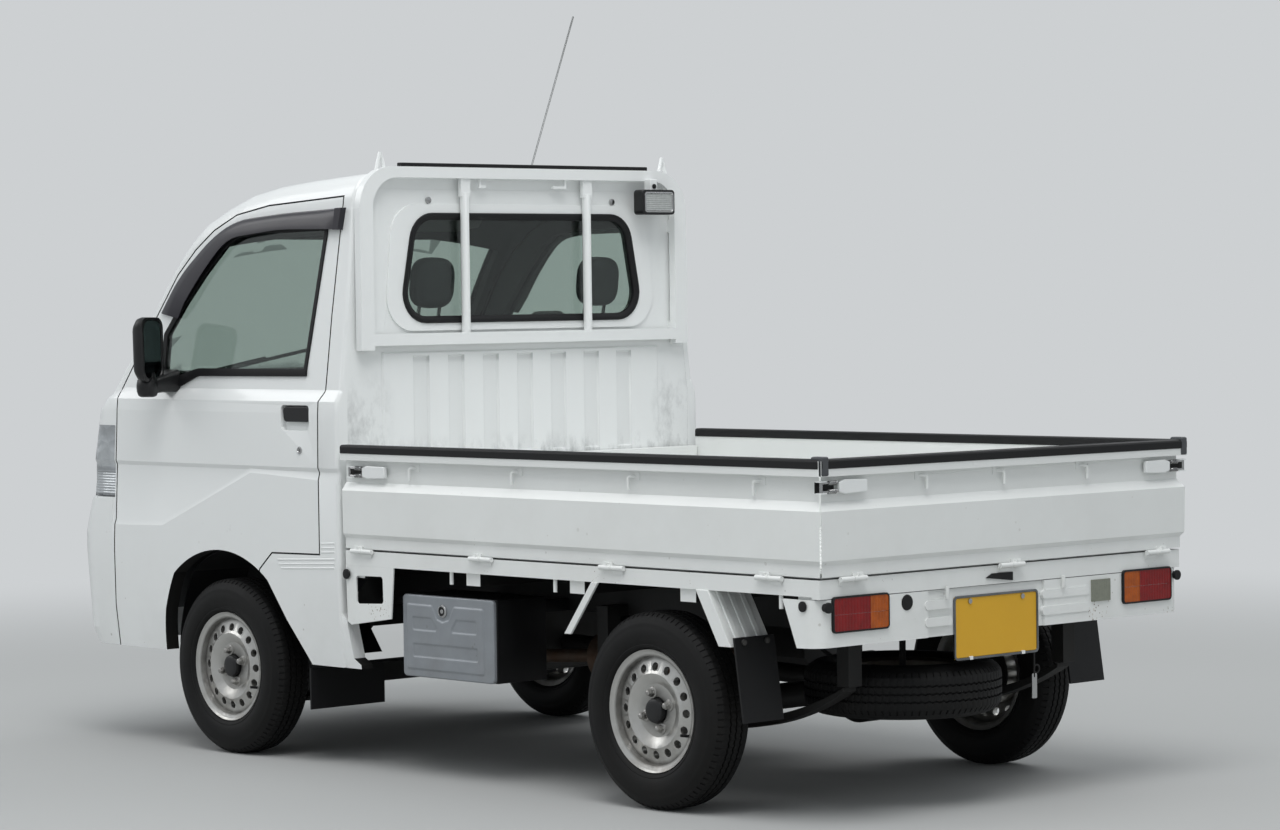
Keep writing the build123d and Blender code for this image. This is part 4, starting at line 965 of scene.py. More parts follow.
@dataclass(frozen=True)
class Wheel:
    """A road wheel's tyre, black hub cap, four nuts on their seats and valve.

    The turned profiles are in millimetres: radius and distance outwards.
    """

    end: str
    side: str
    cap_mm: tuple[Pair, ...] = (
        (0, 27), (30, 27), (33, 31), (33, 47), (31.5, 50.5), (27, 53), (20, 54.2), (12, 54.6), (0, 54.6),
    )
    seat_mm: tuple[Pair, ...] = ((0, 35), (16.5, 35), (15.5, 38), (12.5, 39.6), (0, 39.8))
    nut_mm: tuple[Pair, ...] = (
        (0, 36), (11.5, 36), (11.5, 41), (9.4, 43), (9.4, 52), (7.6, 56.5), (4.0, 58.5), (0, 58.8),
    )

    def build(self) -> None:
        """Make the wheel's pieces."""
        way = SIDES[self.side]
        centre = np.array((FRONT_AXLE_X if self.end == "front" else REAR_AXLE_X, way * HALF_TRACK, WHEEL_R))
        tag, axis = f"{self.end}_{self.side}", (0.0, way, 0.0)
        body = f"wheel_{tag}"
        Tyre(f"tread_{tag}", f"tyre_{tag}", body, tuple(centre)).build()
        nuts = Form()
        for degrees in (70, 160, 250, 340):
            spot = centre + 0.050 * self._radial(degrees)
            nuts.lathe(scaled(self.seat_mm), spot, axis, 24).lathe(scaled(self.nut_mm), spot, axis, 6)
        nuts.build(f"nut_boss_{tag}", NUT_STEEL, body)
        foot = centre + 0.140 * self._radial(205) + 0.040 * np.array(axis)
        tip = foot - 0.008 * self._radial(205) + 0.024 * np.array(axis)
        Form().tube((foot, tip), 0.0042, 10).build(f"valve_{tag}", RUBBER, body)
        Form().lathe(scaled(self.cap_mm), centre, axis, 40).build(f"hub_cap_{tag}", BLACK_PLASTIC, body)

    @staticmethod
    def _radial(degrees: float) -> Array:
        """Return the way out from the axle at an angle from forwards to upwards."""
        return np.array((math.cos(math.radians(degrees)), 0.0, math.sin(math.radians(degrees))))


@dataclass(frozen=True)
class Cab:
    """The cab's window rubbers, the beads pressed in its sills, and the wipers.

    Outlines are in millimetres, across or forward and up. Profiles are in metres: outwards from the
    outline and off the surface.
    """

    rear_window_mm: tuple[Pair, ...] = ((-486, 1320), (486, 1320), (427, 1631), (-427, 1631))
    rear_profile: tuple[Pair, ...] = (
        (-0.012, 0.001), (-0.011, 0.010), (-0.003, 0.014), (0.003, 0.007), (0.009, 0.005), (0.010, 0.0),
    )
    screen_mm: tuple[Pair, ...] = ((-645, 1150), (645, 1150), (596, 1592), (-596, 1592))
    screen_profile: tuple[Pair, ...] = (
        (-0.012, 0.001), (-0.011, 0.008), (-0.002, 0.010), (0.006, 0.005), (0.008, 0.0),
    )
    beads_mm: tuple[tuple[Pair, Pair], ...] = (
        ((307, 668), (370, 665)), ((307, 655), (370, 652)), ((307, 642), (370, 639)),
        ((308, 621), (584, 609)), ((308, 608), (579, 596)), ((309, 595), (568, 584)),
    )
    wiper_pivots: tuple[Pair, ...] = ((0.430, 1.128), (-0.150, 1.128))
    wiper_reach: Pair = (-0.330, 0.062)
    blade_half: float = 0.21

    def build(self) -> None:
        """Make the cab's small pieces."""
        rear = Skin(("cab_rear_panel", "cab_glass"), (1.0, 0.0, 0.0))
        front = Skin(("front_panel", "roof_panel", "cab_glass"), BACKWARDS)
        form = Form().gasket(rear, rounded(scaled(self.rear_window_mm), 0.080, 9), self.rear_profile)
        form.gasket(front, dense(rounded(scaled(self.screen_mm), 0.045), 8), self.screen_profile)
        form.build("window_rubber", RUBBER, smooth_deg=50)
        for side, way in SIDES.items():
            skin, form = Skin(("cab_sides",), (0.0, -way, 0.0)), Form()
            for bead in self.beads_mm:
                form.tube(skin.place(np.linspace(*scaled(bead), 16), -0.0009), 0.0028, 10)
            form.build(f"sill_beads_{side}", WHITE_PAINT)
        arms, blades, reach = Form(), Form(), np.array(self.wiper_reach)
        for pivot in np.array(self.wiper_pivots):
            tip, slope = pivot + reach, reach / np.linalg.norm(reach) * self.blade_half
            arms.tube(front.place(np.linspace(pivot, tip, 8), 0.016), 0.0055, 8)
            arms.stud(front.place([pivot])[0], (0.5, 0.0, 0.87), 0.014, 0.020)
            blades.tube(front.place(np.linspace(tip - slope, tip + slope * 0.8, 10), 0.007), 0.0065, 6)
        arms.build("wiper_arms", CHASSIS_BLACK)
        blades.build("wiper_blades", RUBBER)


@dataclass(frozen=True)
class Door:
    """What one door carries: window rubber, rain visor, handle, lock, belt rubber, mirror, and its seal.

    Outlines are in millimetres, forward and up. The belt's stations are forward, lower edge and upper
    edge. The mirror's shell is depth forward of the glass, width and height.
    """

    side: str
    window_mm: tuple[Pair, ...] = (
        (462, 1166), (400, 1604), (726, 1602), (850, 1590), (922, 1552), (1022, 1467), (1112, 1377), (1190, 1284),
        (1192, 1135), (1118, 1126), (1000, 1165),
    )
    window_profile: tuple[Pair, ...] = ((-0.014, 0.001), (-0.013, 0.005), (-0.002, 0.007), (0.003, 0.004), (0.004, 0.0))
    visor_top_mm: tuple[Pair, ...] = (
        (326, 1655), (624, 1646), (854, 1631), (962, 1586), (1044, 1529), (1130, 1464), (1225, 1338),
    )
    visor_low_mm: tuple[Pair, ...] = (
        (334, 1592), (616, 1598), (866, 1578), (920, 1540), (996, 1470), (1060, 1400), (1124, 1322),
    )
    visor_end_mm: tuple[Pair, ...] = ((322, 1655.5), (352, 1654.5), (356, 1591.5), (331, 1590.5))
    handle_mm: tuple[Pair, ...] = ((421, 1070), (553, 1070), (548, 1024), (426, 1024))
    lock_mm: tuple[Pair, ...] = ((0, -4), (11, -4), (11, 2), (9.5, 3.4), (8, 3.4), (7, 1.6), (0, 1.6))
    lock_spot: Pair = (0.466, 0.939)
    belt_mm: tuple[Point, ...] = (
        (456, 1158, 1180), (700, 1157, 1180), (1000, 1156, 1180), (1118, 1112, 1152), (1160, 1108, 1168),
        (1206, 1112, 1206),
    )
    mirror_middle: Point = (1.112, 0.822, 1.240)
    mirror_turn_deg: float = 24.0
    mirror_mm: tuple[Point, ...] = (
        (4, 110, 178), (0, 113, 181), (0, 125, 193), (3, 131, 199), (16, 133, 200), (30, 126, 192), (41, 108, 172),
        (49, 78, 138), (53, 34, 84),
    )
    mirror_glass_mm: tuple[Point, ...] = ((3.2, 109, 177), (8.0, 109, 177))
    stalk: tuple[Pair, ...] = (
        (0, 1.093), (0.020, 1.093), (0.028, 1.097), (0.033, 1.110), (0.034, 1.128), (0.031, 1.146), (0.027, 1.150),
        (0.024, 1.170), (0, 1.170),
    )
    # The arm's stations: out, forward, half its width, low and high.
    arm: tuple[tuple[float, ...], ...] = (
        (0.712, 1.134, 0.042, 1.106, 1.176), (0.740, 1.130, 0.036, 1.108, 1.168), (0.775, 1.122, 0.030, 1.106, 1.158),
        (0.815, 1.114, 0.026, 1.102, 1.150),
    )

    @property
    def body(self) -> str:
        """Return the door's body."""
        return f"door_{self.side}"

    @property
    def out(self) -> Array:
        """Return the way out of the door."""
        return np.array((0.0, SIDES[self.side], 0.0))

    def skin(self, *nodes: str) -> Skin:
        """Return the outer surface of some nodes, seen from the door's side."""
        return Skin(nodes, tuple(-self.out))

    def build(self) -> None:
        """Make the door's small pieces."""
        glazed = self.skin(self.body, f"door_glass_{self.side}")
        outline = dense(rounded(scaled(self.window_mm), 0.018, 5), 4)
        rubber = Form().gasket(glazed, outline, self.window_profile)
        rubber.build(f"door_rubber_{self.side}", RUBBER, self.body, smooth_deg=50)
        self._visor()
        self._handle_and_lock()
        self._seal()
        self._belt(glazed)
        self._mirror()

    def _visor(self) -> None:
        """Hang the smoked wind visor: a curved blade between two lines, thickest at its lower edge."""
        count = 34
        skin = self.skin(self.body, f"door_glass_{self.side}", "roof_panel", "front_panel")
        top, low = (skin.place(resample(line, count), 0.004) for line in (self.visor_top_mm, self.visor_low_mm))
        stand = np.interp(np.arange(count), (0, 3, count - 4, count - 1), (0.012, 0.020, 0.020, 0.010))
        rows = []
        for share, lift in ((0.0, 0.002), (0.12, 0.55), (0.45, 0.85), (1.0, 1.0)):
            rows.append(top * (1 - share) + low * share + np.outer(stand * lift, self.out))
        loop = rows + [row - self.out * 0.003 for row in rows[::-1]]
        form = Form().sweep(np.stack(loop, axis=1), closed=False)
        form.prism(skin.place(scaled(self.visor_end_mm)), self.out * 0.0205)
        form.build(f"visor_{self.side}", SMOKED_VISOR, self.body, smooth_deg=40)

    def _handle_and_lock(self) -> None:
        """Set the handle's flap in its pocket and the lock below it, with painted shade in its keyway."""
        way = SIDES[self.side]
        flap = upright(rounded(scaled(self.handle_mm), 0.014), 1, way * 0.7155)
        flap = Form().prism(flap, (0.0, way * 0.0125, -0.002))
        flap.build(f"handle_{self.side}", BLACK_PLASTIC, self.body, bevel_mm=3.5)
        spot = self.skin(self.body).place([self.lock_spot])[0]
        lock = Form().lathe(scaled(self.lock_mm), spot, tuple(self.out), 28)
        lock.build(f"lock_{self.side}", BRIGHT_STEEL, self.body)
        # A black sliver on the lock's face is painted shade in the keyway.
        slot = Form().box((0.4655, spot[1] + way * 0.0012, 0.9345), (0.4665, spot[1] + way * 0.0022, 0.9435))
        slot.build(f"keyway_shade_{self.side}", RUBBER, self.body)

    def _seal(self) -> None:
        """Set a dark rubber seal deep in the gap round the door."""
        skin = self.skin(self.body, "front_panel", "roof_panel", "cab_sides")
        corners = scaled(DOOR_MM)
        corners[0] += (-0.0006, 0.035)
        closed = np.vstack((dense(corners, 8)[:-7], corners[:1]))
        on_door = skin.place(grown(closed, -0.007)[:-1])[:, 1]
        rows = []
        for aside, depth in ((0.0021, 0.005), (0.0021, 0.013), (-0.0021, 0.013), (-0.0021, 0.005)):
            rows.append(upright(grown(closed, aside)[:-1], 1, on_door - SIDES[self.side] * depth))
        form = Form().sweep(np.stack(rows, axis=1), closed=False)
        form.build(f"door_seal_{self.side}", RUBBER, smooth_deg=60)

    def _belt(self, skin: Skin) -> None:
        """Lay the black belt rubber that runs forward into the mirror's foot.

        Args:
            skin: The door with its glass.
        """
        ahead, low, high = scaled(self.belt_mm).T
        stations = np.linspace(ahead[0], ahead[-1], 40)
        lower, upper = np.interp(stations, ahead, low), np.interp(stations, ahead, high)
        foot, top = (skin.place(np.stack((stations, edge), axis=1)) for edge in (lower, upper))
        top[:, 1] = foot[:, 1] - SIDES[self.side] * (upper - lower) * 0.11
        out = self.out
        rows = (foot, foot + out * 0.006, foot * 0.5 + top * 0.5 + out * 0.009, top + out * 0.0075, top - out * 0.001)
        form = Form().sweep(np.stack(rows, axis=1), closed=False)
        form.build(f"belt_{self.side}", RUBBER, self.body, smooth_deg=50)

    def _mirror(self) -> None:
        """Make the mirror: a moulded head turned to the driver, its glass, and the stalk under it."""
        way = SIDES[self.side]
        form = Form().sweep(np.array([self._mirror_loop(*row) for row in self.mirror_mm]), closed=False)
        form.lathe(self.stalk, (self.mirror_middle[0] + 0.004, way * 0.818, 0.0), tuple(UP), 28)
        loops = []
        for y, x, half_x, low, high in self.arm:
            flat = rounded(((x - half_x, low), (x + half_x, low), (x + half_x, high), (x - half_x, high)), 0.014, 4)
            loops.append(upright(flat, 1, way * y))
        form.sweep(np.array(loops), closed=False)
        piece = form.build(f"mirror_shell_{self.side}", BLACK_PLASTIC, self.body, smooth_deg=42)
        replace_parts(piece, f"mirror_{self.side}")
        glass = Form().sweep(np.array([self._mirror_loop(*row) for row in self.mirror_glass_mm]), closed=False)
        glass.build(f"mirror_glass_{self.side}", MIRROR_GLASS, self.body)

    def _mirror_loop(self, depth_mm: float, width_mm: float, height_mm: float) -> Array:
        """Return the mirror's rounded outline at a depth.

        Args:
            depth_mm: How far forward of the glass it lies.
            width_mm: Its width.
            height_mm: Its height.
        """
        way, turn = SIDES[self.side], math.radians(self.mirror_turn_deg)
        back = np.array((-math.cos(turn), -way * math.sin(turn), 0.0))
        across = np.array((-math.sin(turn), way * math.cos(turn), 0.0))
        x, y, z = self.mirror_middle
        w, h = width_mm / 2000, height_mm / 2000
        flat = rounded(((-w, -h * 0.96), (w * 0.90, -h), (w, h), (-w * 0.96, h * 0.98)), min(0.030, w * 0.6), 6)
        middle = np.array((x, way * y, z)) + back * 0.024 - back * mm(depth_mm)
        return middle + np.outer(flat[:, 0], across) + np.outer(flat[:, 1], UP)


@dataclass(frozen=True)
class Toolbox:
    """The toolbox lid, a raised panel that dips round the lock with three sunk fields, and its lock, with a black ring
    of painted shade in its groove.

    Outlines are in millimetres, forward and up; turned profiles are radius and distance outwards.
    """

    low: Pair = (-0.367, 0.294)
    high: Pair = (0.037, 0.531)
    grid: tuple[int, int] = (161, 95)
    corner: float = 0.014
    face_y: float = 0.6970
    back_y: float = 0.6860
    panel_mm: tuple[Pair, ...] = (
        (18, 503), (-96, 503), (-118, 464), (-145, 457), (-172, 464), (-195, 503), (-325, 503), (-325, 317), (18, 317),
    )
    fields_mm: tuple[tuple[Pair, ...], ...] = (
        ((-11, 467), (-96, 467), (-123, 430), (-11, 430)),
        ((-179, 430), (-206, 467), (-295, 467), (-295, 430)),
        ((-11, 390), (-300, 390), (-300, 353), (-11, 353)),
    )
    lock_spot: Point = (-0.145, 0.697, 0.489)
    lock_mm: tuple[Pair, ...] = (
        (0, -3), (19, -3), (19, 3), (16, 6), (14, 6), (13, 3), (7, 3), (6, 5), (0, 5),
    )
    # A black ring in the lock's sunk groove, painted shade.
    lock_shade_mm: tuple[Pair, ...] = ((0, 1), (12.6, 1), (12.6, 4.2), (0, 4.2))

    def build(self) -> None:
        """Press the lid in place of the plain one, and fit the lock."""
        columns, rows = self.grid
        sides = [np.linspace(low, high, count) for low, high, count in zip(self.low, self.high, self.grid)]
        spots = np.stack(np.meshgrid(*sides, indexing="ij"), axis=2).reshape(-1, 2)
        held = np.clip(spots, np.array(self.low) + self.corner, np.array(self.high) - self.corner)
        gap = spots - held
        reach = np.linalg.norm(gap, axis=1, keepdims=True)
        spots = np.where(reach > self.corner, held + gap / np.maximum(reach, 1e-9) * self.corner, spots)
        edge = self.corner - np.minimum(np.linalg.norm(spots - held, axis=1), self.corner)
        face = self.face_y - 0.0030 * np.clip(1.0 - edge / 0.003, 0.0, 1.0) ** 2
        face += 0.0030 * step_down(signed_distance(rounded(scaled(self.panel_mm), 0.007, 5), spots), 0.0045)
        for outline in self.fields_mm:
            face -= 0.0026 * step_down(signed_distance(rounded(scaled(outline), 0.006, 5), spots), 0.0040)
        index = np.arange(columns * rows).reshape(columns, rows)
        front = upright(spots, 1, face)
        border = np.concatenate((index[:-1, 0], index[-1, :-1], index[:0:-1, -1], index[0, :0:-1]))
        back = front[border]
        back[:, 1] = self.back_y
        behind = np.arange(len(border)) + len(front)
        quads = np.stack((index[:-1, :-1], index[1:, :-1], index[1:, 1:], index[:-1, 1:]), axis=2).reshape(-1, 4)
        rim = np.stack((border, behind, np.roll(behind, -1), np.roll(border, -1)), axis=1)
        form = Form().add(np.vstack((front, back)), [*quads, *rim, behind])
        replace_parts(form.build("toolbox_lid_pressed", LID_GREY, "toolbox_lid", smooth_deg=50), "toolbox_lid")
        for name, profile, finish, flats in (
            ("toolbox_lock", self.lock_mm, BRIGHT_STEEL, 32), ("toolbox_lock_shade", self.lock_shade_mm, RUBBER, 28),
        ):
            turned = Form().lathe(scaled(profile), self.lock_spot, (0.0, 1.0, 0.0), flats)
            turned.build(name, finish, "toolbox_lid")


@dataclass(frozen=True)
class Fitting:
    """A place on a gate for a latch or rope hooks, with the way along the gate and the way out of it."""

    body: str
    along: Array
    out: Array

    def latch(self, name: str, corner: Point) -> None:
        """Make a gate latch: a pressed handle, a sprung wire bail, and the bracket with its post.

        Args:
            name: The latch's name.
            corner: The handle's free end, on the gate's face.
        """
        base, ahead, away = np.array(corner), self.along, self.out
        plate_mm = ((0, -16), (82, -19), (86, -18), (104, -12), (104, 12), (86, 18), (82, 19), (0, 17))
        outline = rounded(scaled(plate_mm), 0.0045, 4)
        flat = base + away * 0.0065 + np.outer(outline[:, 0], ahead) + np.outer(outline[:, 1], UP)
        Form().prism(flat, away * 0.0125).build(f"{name}_handle", WHITE_PAINT, self.body, bevel_mm=3.0)
        form, wire = Form(), base + away * 0.0125
        turns = np.linspace(0.0, 14.0 * math.pi, 85)
        round_wire = 0.0052 * (np.outer(np.cos(turns), away) + np.outer(np.sin(turns), UP))
        for level in (-0.011, 0.011):
            start = wire + ahead * 0.098 + UP * level
            form.tube((start, wire + ahead * 0.166 + UP * level), 0.0028, 10)
            form.tube(start + np.outer(np.linspace(0.012, 0.042, 85), ahead) + round_wire, 0.0012, 6)
        form.tube([wire + ahead * 0.166 + UP * level for level in (-0.017, 0.017)], 0.0045, 10)
        form.build(f"{name}_bail", BRIGHT_STEEL, self.body)
        form = Form()
        for level in (-0.017, 0.0135):
            foot = base + ahead * 0.140 + UP * level - away * 0.001
            top = foot + away * 0.018
            form.prism(np.array((foot, foot + ahead * 0.034, top + ahead * 0.034, top + ahead * 0.008)), UP * 0.0035)
        form.build(f"{name}_bracket", WHITE_PAINT, self.body)
        near, far, rise = base - away * 0.001 + ahead * 0.108, base - away * 0.001 + ahead * 0.176, UP * 0.014
        form = Form().prism(np.array((near - rise, far - rise, far + rise, near + rise)), away * 0.003)
        form.build(f"{name}_base", CHASSIS_BLACK, self.body)

    def hook(self, form: Form, foot: Point) -> None:
        """Add one rope hook: a rod in front of the gate that bends back into a small flange.

        Args:
            form: What it is added to.
            foot: Where the rod's middle line meets the gate's face, at the bend's height.
        """
        base, away = np.array(foot), self.out
        path = ((0, 11.5, -36), (0, 11.5, -7), (2, 10.8, -2.5), (7, 9, 0), (14, 4, 0), (19, -1, 0))
        form.tube(base + scaled(path) @ np.array((self.along, away, UP)), 0.0046, 12)
        corner = base + self.along * 0.009 - UP * 0.010 - away * 0.001
        side, rise = self.along * 0.026, UP * 0.020
        form.prism(np.array((corner, corner + side, corner + side + rise, corner + rise)), away * 0.0032)


@dataclass(frozen=True)
class Gates:
    """The latches, rope hooks, hinge tabs and rubber caps of the three gates."""

    side_hooks_x: tuple[float, ...] = (-0.0405, -0.4885, -0.968, -1.446)
    side_hinges_x: tuple[float, ...] = (0.1815, -0.3535, -0.8995, -1.5015)
    tail_hooks_y: tuple[float, ...] = (0.328, 0.025, -0.315)
    tail_hinges_y: tuple[float, ...] = (0.0, 0.611, -0.611)
    rail_mm: tuple[Pair, ...] = (
        (737.5, 934), (740.2, 936), (740.2, 953), (737.4, 957.6), (731, 959.4), (708, 959.4), (701, 957),
        (699.4, 950), (699.4, 934), (702, 934),
    )

    def build(self) -> None:
        """Make the gates' fittings, then their rubber."""
        ahead, left = np.array((1.0, 0.0, 0.0)), np.array((0.0, 1.0, 0.0))
        tail_x = REAR_X + 0.0215
        for side, way in SIDES.items():
            body = f"side_gate_{side}"
            Fitting(body, ahead, left * way).latch(f"latch_{side}", (0.066, way * 0.716, 0.881))
            form = Form()
            for x in self.side_hooks_x:
                Fitting(body, -ahead, left * way).hook(form, (x, way * 0.716, 0.898))
            for x in self.side_hinges_x:
                form.box((x + 0.012, way * 0.7255, 0.651), (x + 0.020, way * 0.7345, 0.6625))
            form.build(f"rope_hooks_{side}", BED_PAINT, body)
            Fitting("tailgate", left * way, -ahead).latch(f"tail_latch_{side}", (tail_x, way * 0.559, 0.887))
        form = Form()
        for y in self.tail_hooks_y:
            Fitting("tailgate", left, -ahead).hook(form, (tail_x, y, 0.903))
        for y in self.tail_hinges_y:
            form.box((REAR_X + 0.003, y - 0.022, 0.651), (REAR_X + 0.012, y - 0.014, 0.6625))
        form.build("rope_hooks_rear", BED_PAINT, "tailgate")
        self._rubber()

    def _rubber(self) -> None:
        """Fit the black rubber over the top rails and the caps at the tailgate's ends."""
        y, z = scaled(self.rail_mm).T
        for side, way in SIDES.items():
            mitre = REAR_X + 0.0075 + 0.7375 - y
            loops = [np.stack((x, way * y, z), axis=1) for x in (mitre, np.full(len(y), 0.2645))]
            form = Form().sweep(np.array(loops), closed=False)
            form.build(f"rail_rubber_{side}", RUBBER, f"side_gate_{side}", bevel_mm=1.0)
        loops = [np.stack((REAR_X + 0.7375 - y, way * (y - 0.0085), z), axis=1) for way in SIDES.values()]
        form = Form().sweep(np.array(loops), closed=False)
        form.build("rail_rubber_rear", RUBBER, "tailgate", bevel_mm=1.0)
        for side, way in SIDES.items():
            form = Form().box((REAR_X - 0.0035, way * 0.706, 0.916), (REAR_X + 0.039, way * 0.7325, 0.966))
            form.build(f"end_cap_{side}", GREY_RUBBER, "tailgate", bevel_mm=5.0)


@dataclass(frozen=True)
class Tail:
    """The lamps, the plate's frame and the small things under and on the tail."""

    lamp_y: Point = (0.469, 0.541, 0.680)
    lamp_rows: tuple[Pair, ...] = ((0.5155, 0.5577), (0.5583, 0.6005))
    lamp_profile: tuple[Pair, ...] = (
        (0.0, 0.001), (0.0, -0.0065), (-0.0015, -0.0078), (-0.0045, -0.0078), (-0.005, -0.003), (-0.005, 0.001),
    )
    plate_lamp_mm: tuple[Pair, ...] = ((-15, 606), (90, 618), (66, 629), (-15, 629))
    plate: tuple[Pair, ...] = ((-0.121, 0.408), (0.209, 0.408), (0.209, 0.573), (-0.121, 0.573))
    plate_profile: tuple[Pair, ...] = (
        (0.003, -1.6685), (0.003, -1.6735), (0.001, -1.6745), (-0.003, -1.6735), (-0.004, -1.6712), (-0.004, -1.6685),
    )
    pin: tuple[Pair, ...] = ((0, 0.573), (0.0045, 0.573), (0.0055, 0.5755), (0.0055, 0.607), (0, 0.607))
    tag: tuple[Pair, ...] = ((-0.175, 0.272), (-0.155, 0.272), (-0.155, 0.340), (-0.175, 0.340))
    tag_x: float = -1.620

    def build(self) -> None:
        """Make the tail's pieces."""
        self._hanging()
        self._stops()
        self._lamps()
        self._plate()

    def _hanging(self) -> None:
        """Hang two pins, the flaps' bolts and a steel tag on its rod."""
        form = Form()
        for y in (0.252, -0.214):
            form.lathe(self.pin, (-1.686, y, 0.0), tuple(UP), 14)
        form.build("tail_pins", BED_PAINT)
        form = Form()
        for y in (0.607, 0.692, -0.607, -0.692):
            form.stud((-1.3668, y, 0.472), BACKWARDS, 0.008, 0.006)
        form.build("flap_bolts", CAST_METAL)
        form = Form().tube(((self.tag_x, -0.165, 0.486), (self.tag_x, -0.165, 0.330)), 0.0030, 10)
        turn = np.linspace(0.0, 2.0 * math.pi, 25)
        eye = np.stack((-0.175 + 0.011 * np.cos(turn), 0.352 + 0.011 * np.sin(turn)), axis=1)
        form.tube(upright(eye, 0, self.tag_x), 0.0024, 8).build("tag_rod", CHASSIS_BLACK)
        form = Form().prism(upright(rounded(self.tag, 0.004, 4), 0, self.tag_x - 0.0015), (0.003, 0.0, 0.0))
        form.build("steel_tag", BRIGHT_STEEL)

    def _stops(self) -> None:
        """Fit the rubber stops, the grommet and the plugs above the rear window."""
        form = Form()
        for way in SIDES.values():
            form.stud((0.2570, way * 0.722, 0.580), (0.0, way, 0.0), 0.015, 0.009, 0.75)
            form.stud((-1.621, way * 0.7235, 0.581), (0.0, way, 0.0), 0.014, 0.0075, 0.75)
            form.stud((REAR_PANEL_X, way * 0.700, 0.579), BACKWARDS, 0.014, 0.014, 0.75)
        form.lathe(((0, 0), (0.021, 0), (0.020, 0.0025), (0, 0.003)), (REAR_PANEL_X, 0.397, 0.573), BACKWARDS, 28)
        form.build("rubber_stops", RUBBER)
        form = Form()
        for y in (0.372, -0.372):
            form.stud((0.288, y, 1.6785), BACKWARDS, 0.010, 0.007)
        form.build("window_plugs", BRIGHT_STEEL)

    @staticmethod
    def _lens(form: Form, low: Pair, high: Pair, depth: float, flutes: int) -> None:
        """Add a lens with shallow upright flutes, the halves of a sine, facing backwards.

        Args:
            form: What it is added to.
            low: Its lowest y and z.
            high: Its highest y and z.
            depth: How far it stands out of the panel.
            flutes: How many flutes it has.
        """
        across = np.linspace(low[0], high[0], flutes * 4 + 1)
        wave = 0.0008 * np.abs(np.sin(np.linspace(0, math.pi * flutes, flutes * 4 + 1)))
        face = np.stack((REAR_PANEL_X - depth + wave, across), axis=1)
        back = REAR_PANEL_X + 0.001
        outline = upright(np.vstack((face, [(back, high[0]), (back, low[0])])), 2, low[1])
        form.prism(outline, UP * (high[1] - low[1]))

    def _lamps(self) -> None:
        """Make the tail lamps, the reversing lamp and the plate lamp in place of their blocks."""
        inner, split, outer = self.lamp_y
        red, amber, black, clear, backs = Form(), Form(), Form(), Form(), Form()
        for way in SIDES.values():
            rim = ((way * inner, 0.511), (way * outer, 0.511), (way * outer, 0.605), (way * inner, 0.605))
            black.rim(rounded(rim, 0.012), [(aside, REAR_PANEL_X + x) for aside, x in self.lamp_profile])
            for form, ends, flutes in (
                (red, (split + 0.0006, outer - 0.0045), 12), (amber, (split - 0.0006, inner + 0.0045), 6),
            ):
                low_y, high_y = sorted(way * end for end in ends)
                for low_z, high_z in self.lamp_rows:
                    self._lens(form, (low_y, low_z), (high_y, high_z), 0.0066, flutes)
            near, far = way * (inner + 0.004), way * (outer - 0.004)
            backs.box((REAR_PANEL_X - 0.0012, near, 0.515), (REAR_PANEL_X + 0.0008, far, 0.601))
        black.prism(upright(scaled(self.plate_lamp_mm), 0, REAR_X + 0.0175), (0.012, 0.0, 0.0))
        self._lens(clear, (-0.416, 0.527), (-0.340, 0.587), 0.0058, 8)
        for form, name, finish in (
            (red, "tail_lens_red", RED_LENS), (amber, "tail_lens_amber", AMBER_LENS), (black, "lamp_rims", RUBBER),
            (clear, "reversing_lens", SMOKY_LENS),
        ):
            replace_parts(form.build(name, finish), "tail_lamps")
        backs.build("lamp_backs", REFLECTOR)

    def _plate(self) -> None:
        """Frame the blank number plate and hold it with two clips and two bolts."""
        Form().rim(rounded(self.plate, 0.010), self.plate_profile).build("plate_frame", DARK_CHROME)
        clips, bolts = Form(), Form()
        for y in (-0.060, 0.148):
            clips.box((-1.6765, y - 0.006, 0.4045), (-1.6700, y + 0.006, 0.414))
        clips.build("plate_clips", WHITE_PAINT, bevel_mm=1.0)
        for y in (-0.061, 0.149):
            bolts.stud((-1.671, y, 0.5605), BACKWARDS, 0.007, 0.004)
        bolts.build("plate_bolts", BRIGHT_STEEL)


@dataclass(frozen=True)
class Guard:
    """The guard frame's black strip, and the work lamp's lens, rim, tab and bolt."""

    lamp: tuple[Pair, ...] = ((-0.560, 1.645), (-0.437, 1.645), (-0.437, 1.709), (-0.560, 1.709))
    rim_profile: tuple[Pair, ...] = ((0.0, 0.206), (0.0, 0.2015), (-0.004, 0.2000), (-0.006, 0.2030), (-0.006, 0.206))
    ribs: int = 9

    def build(self) -> None:
        """Make the guard's trim; the lens has ribs that are the halves of a sine."""
        strip = Form().box((0.2545, -0.4985, 1.7755), (0.2755, 0.4985, 1.7885))
        strip.build("guard_strip", RUBBER, bevel_mm=2.5)
        Form().rim(rounded(self.lamp, 0.010), self.rim_profile).build("work_lamp_rim", BRIGHT_STEEL)
        count = self.ribs * 4 + 1
        wave = 0.0012 * np.abs(np.sin(np.linspace(0, math.pi * self.ribs, count)))
        face = np.stack((0.2040 - wave, np.linspace(1.650, 1.704, count)), axis=1)
        outline = upright(np.vstack((face, [(0.2065, 1.704), (0.2065, 1.650)])), 1, -0.555)
        Form().prism(outline, (0.0, 0.113, 0.0)).build("work_lamp_lens", LAMP_GLASS)
        tab = Form().box((0.226, -0.5135, 1.699), (0.2545, -0.4835, 1.7495))
        tab.build("work_lamp_tab", WHITE_PAINT, bevel_mm=2.0)
        Form().stud((0.226, -0.4985, 1.727), BACKWARDS, 0.0075, 0.004).build("work_lamp_bolt", RUBBER)


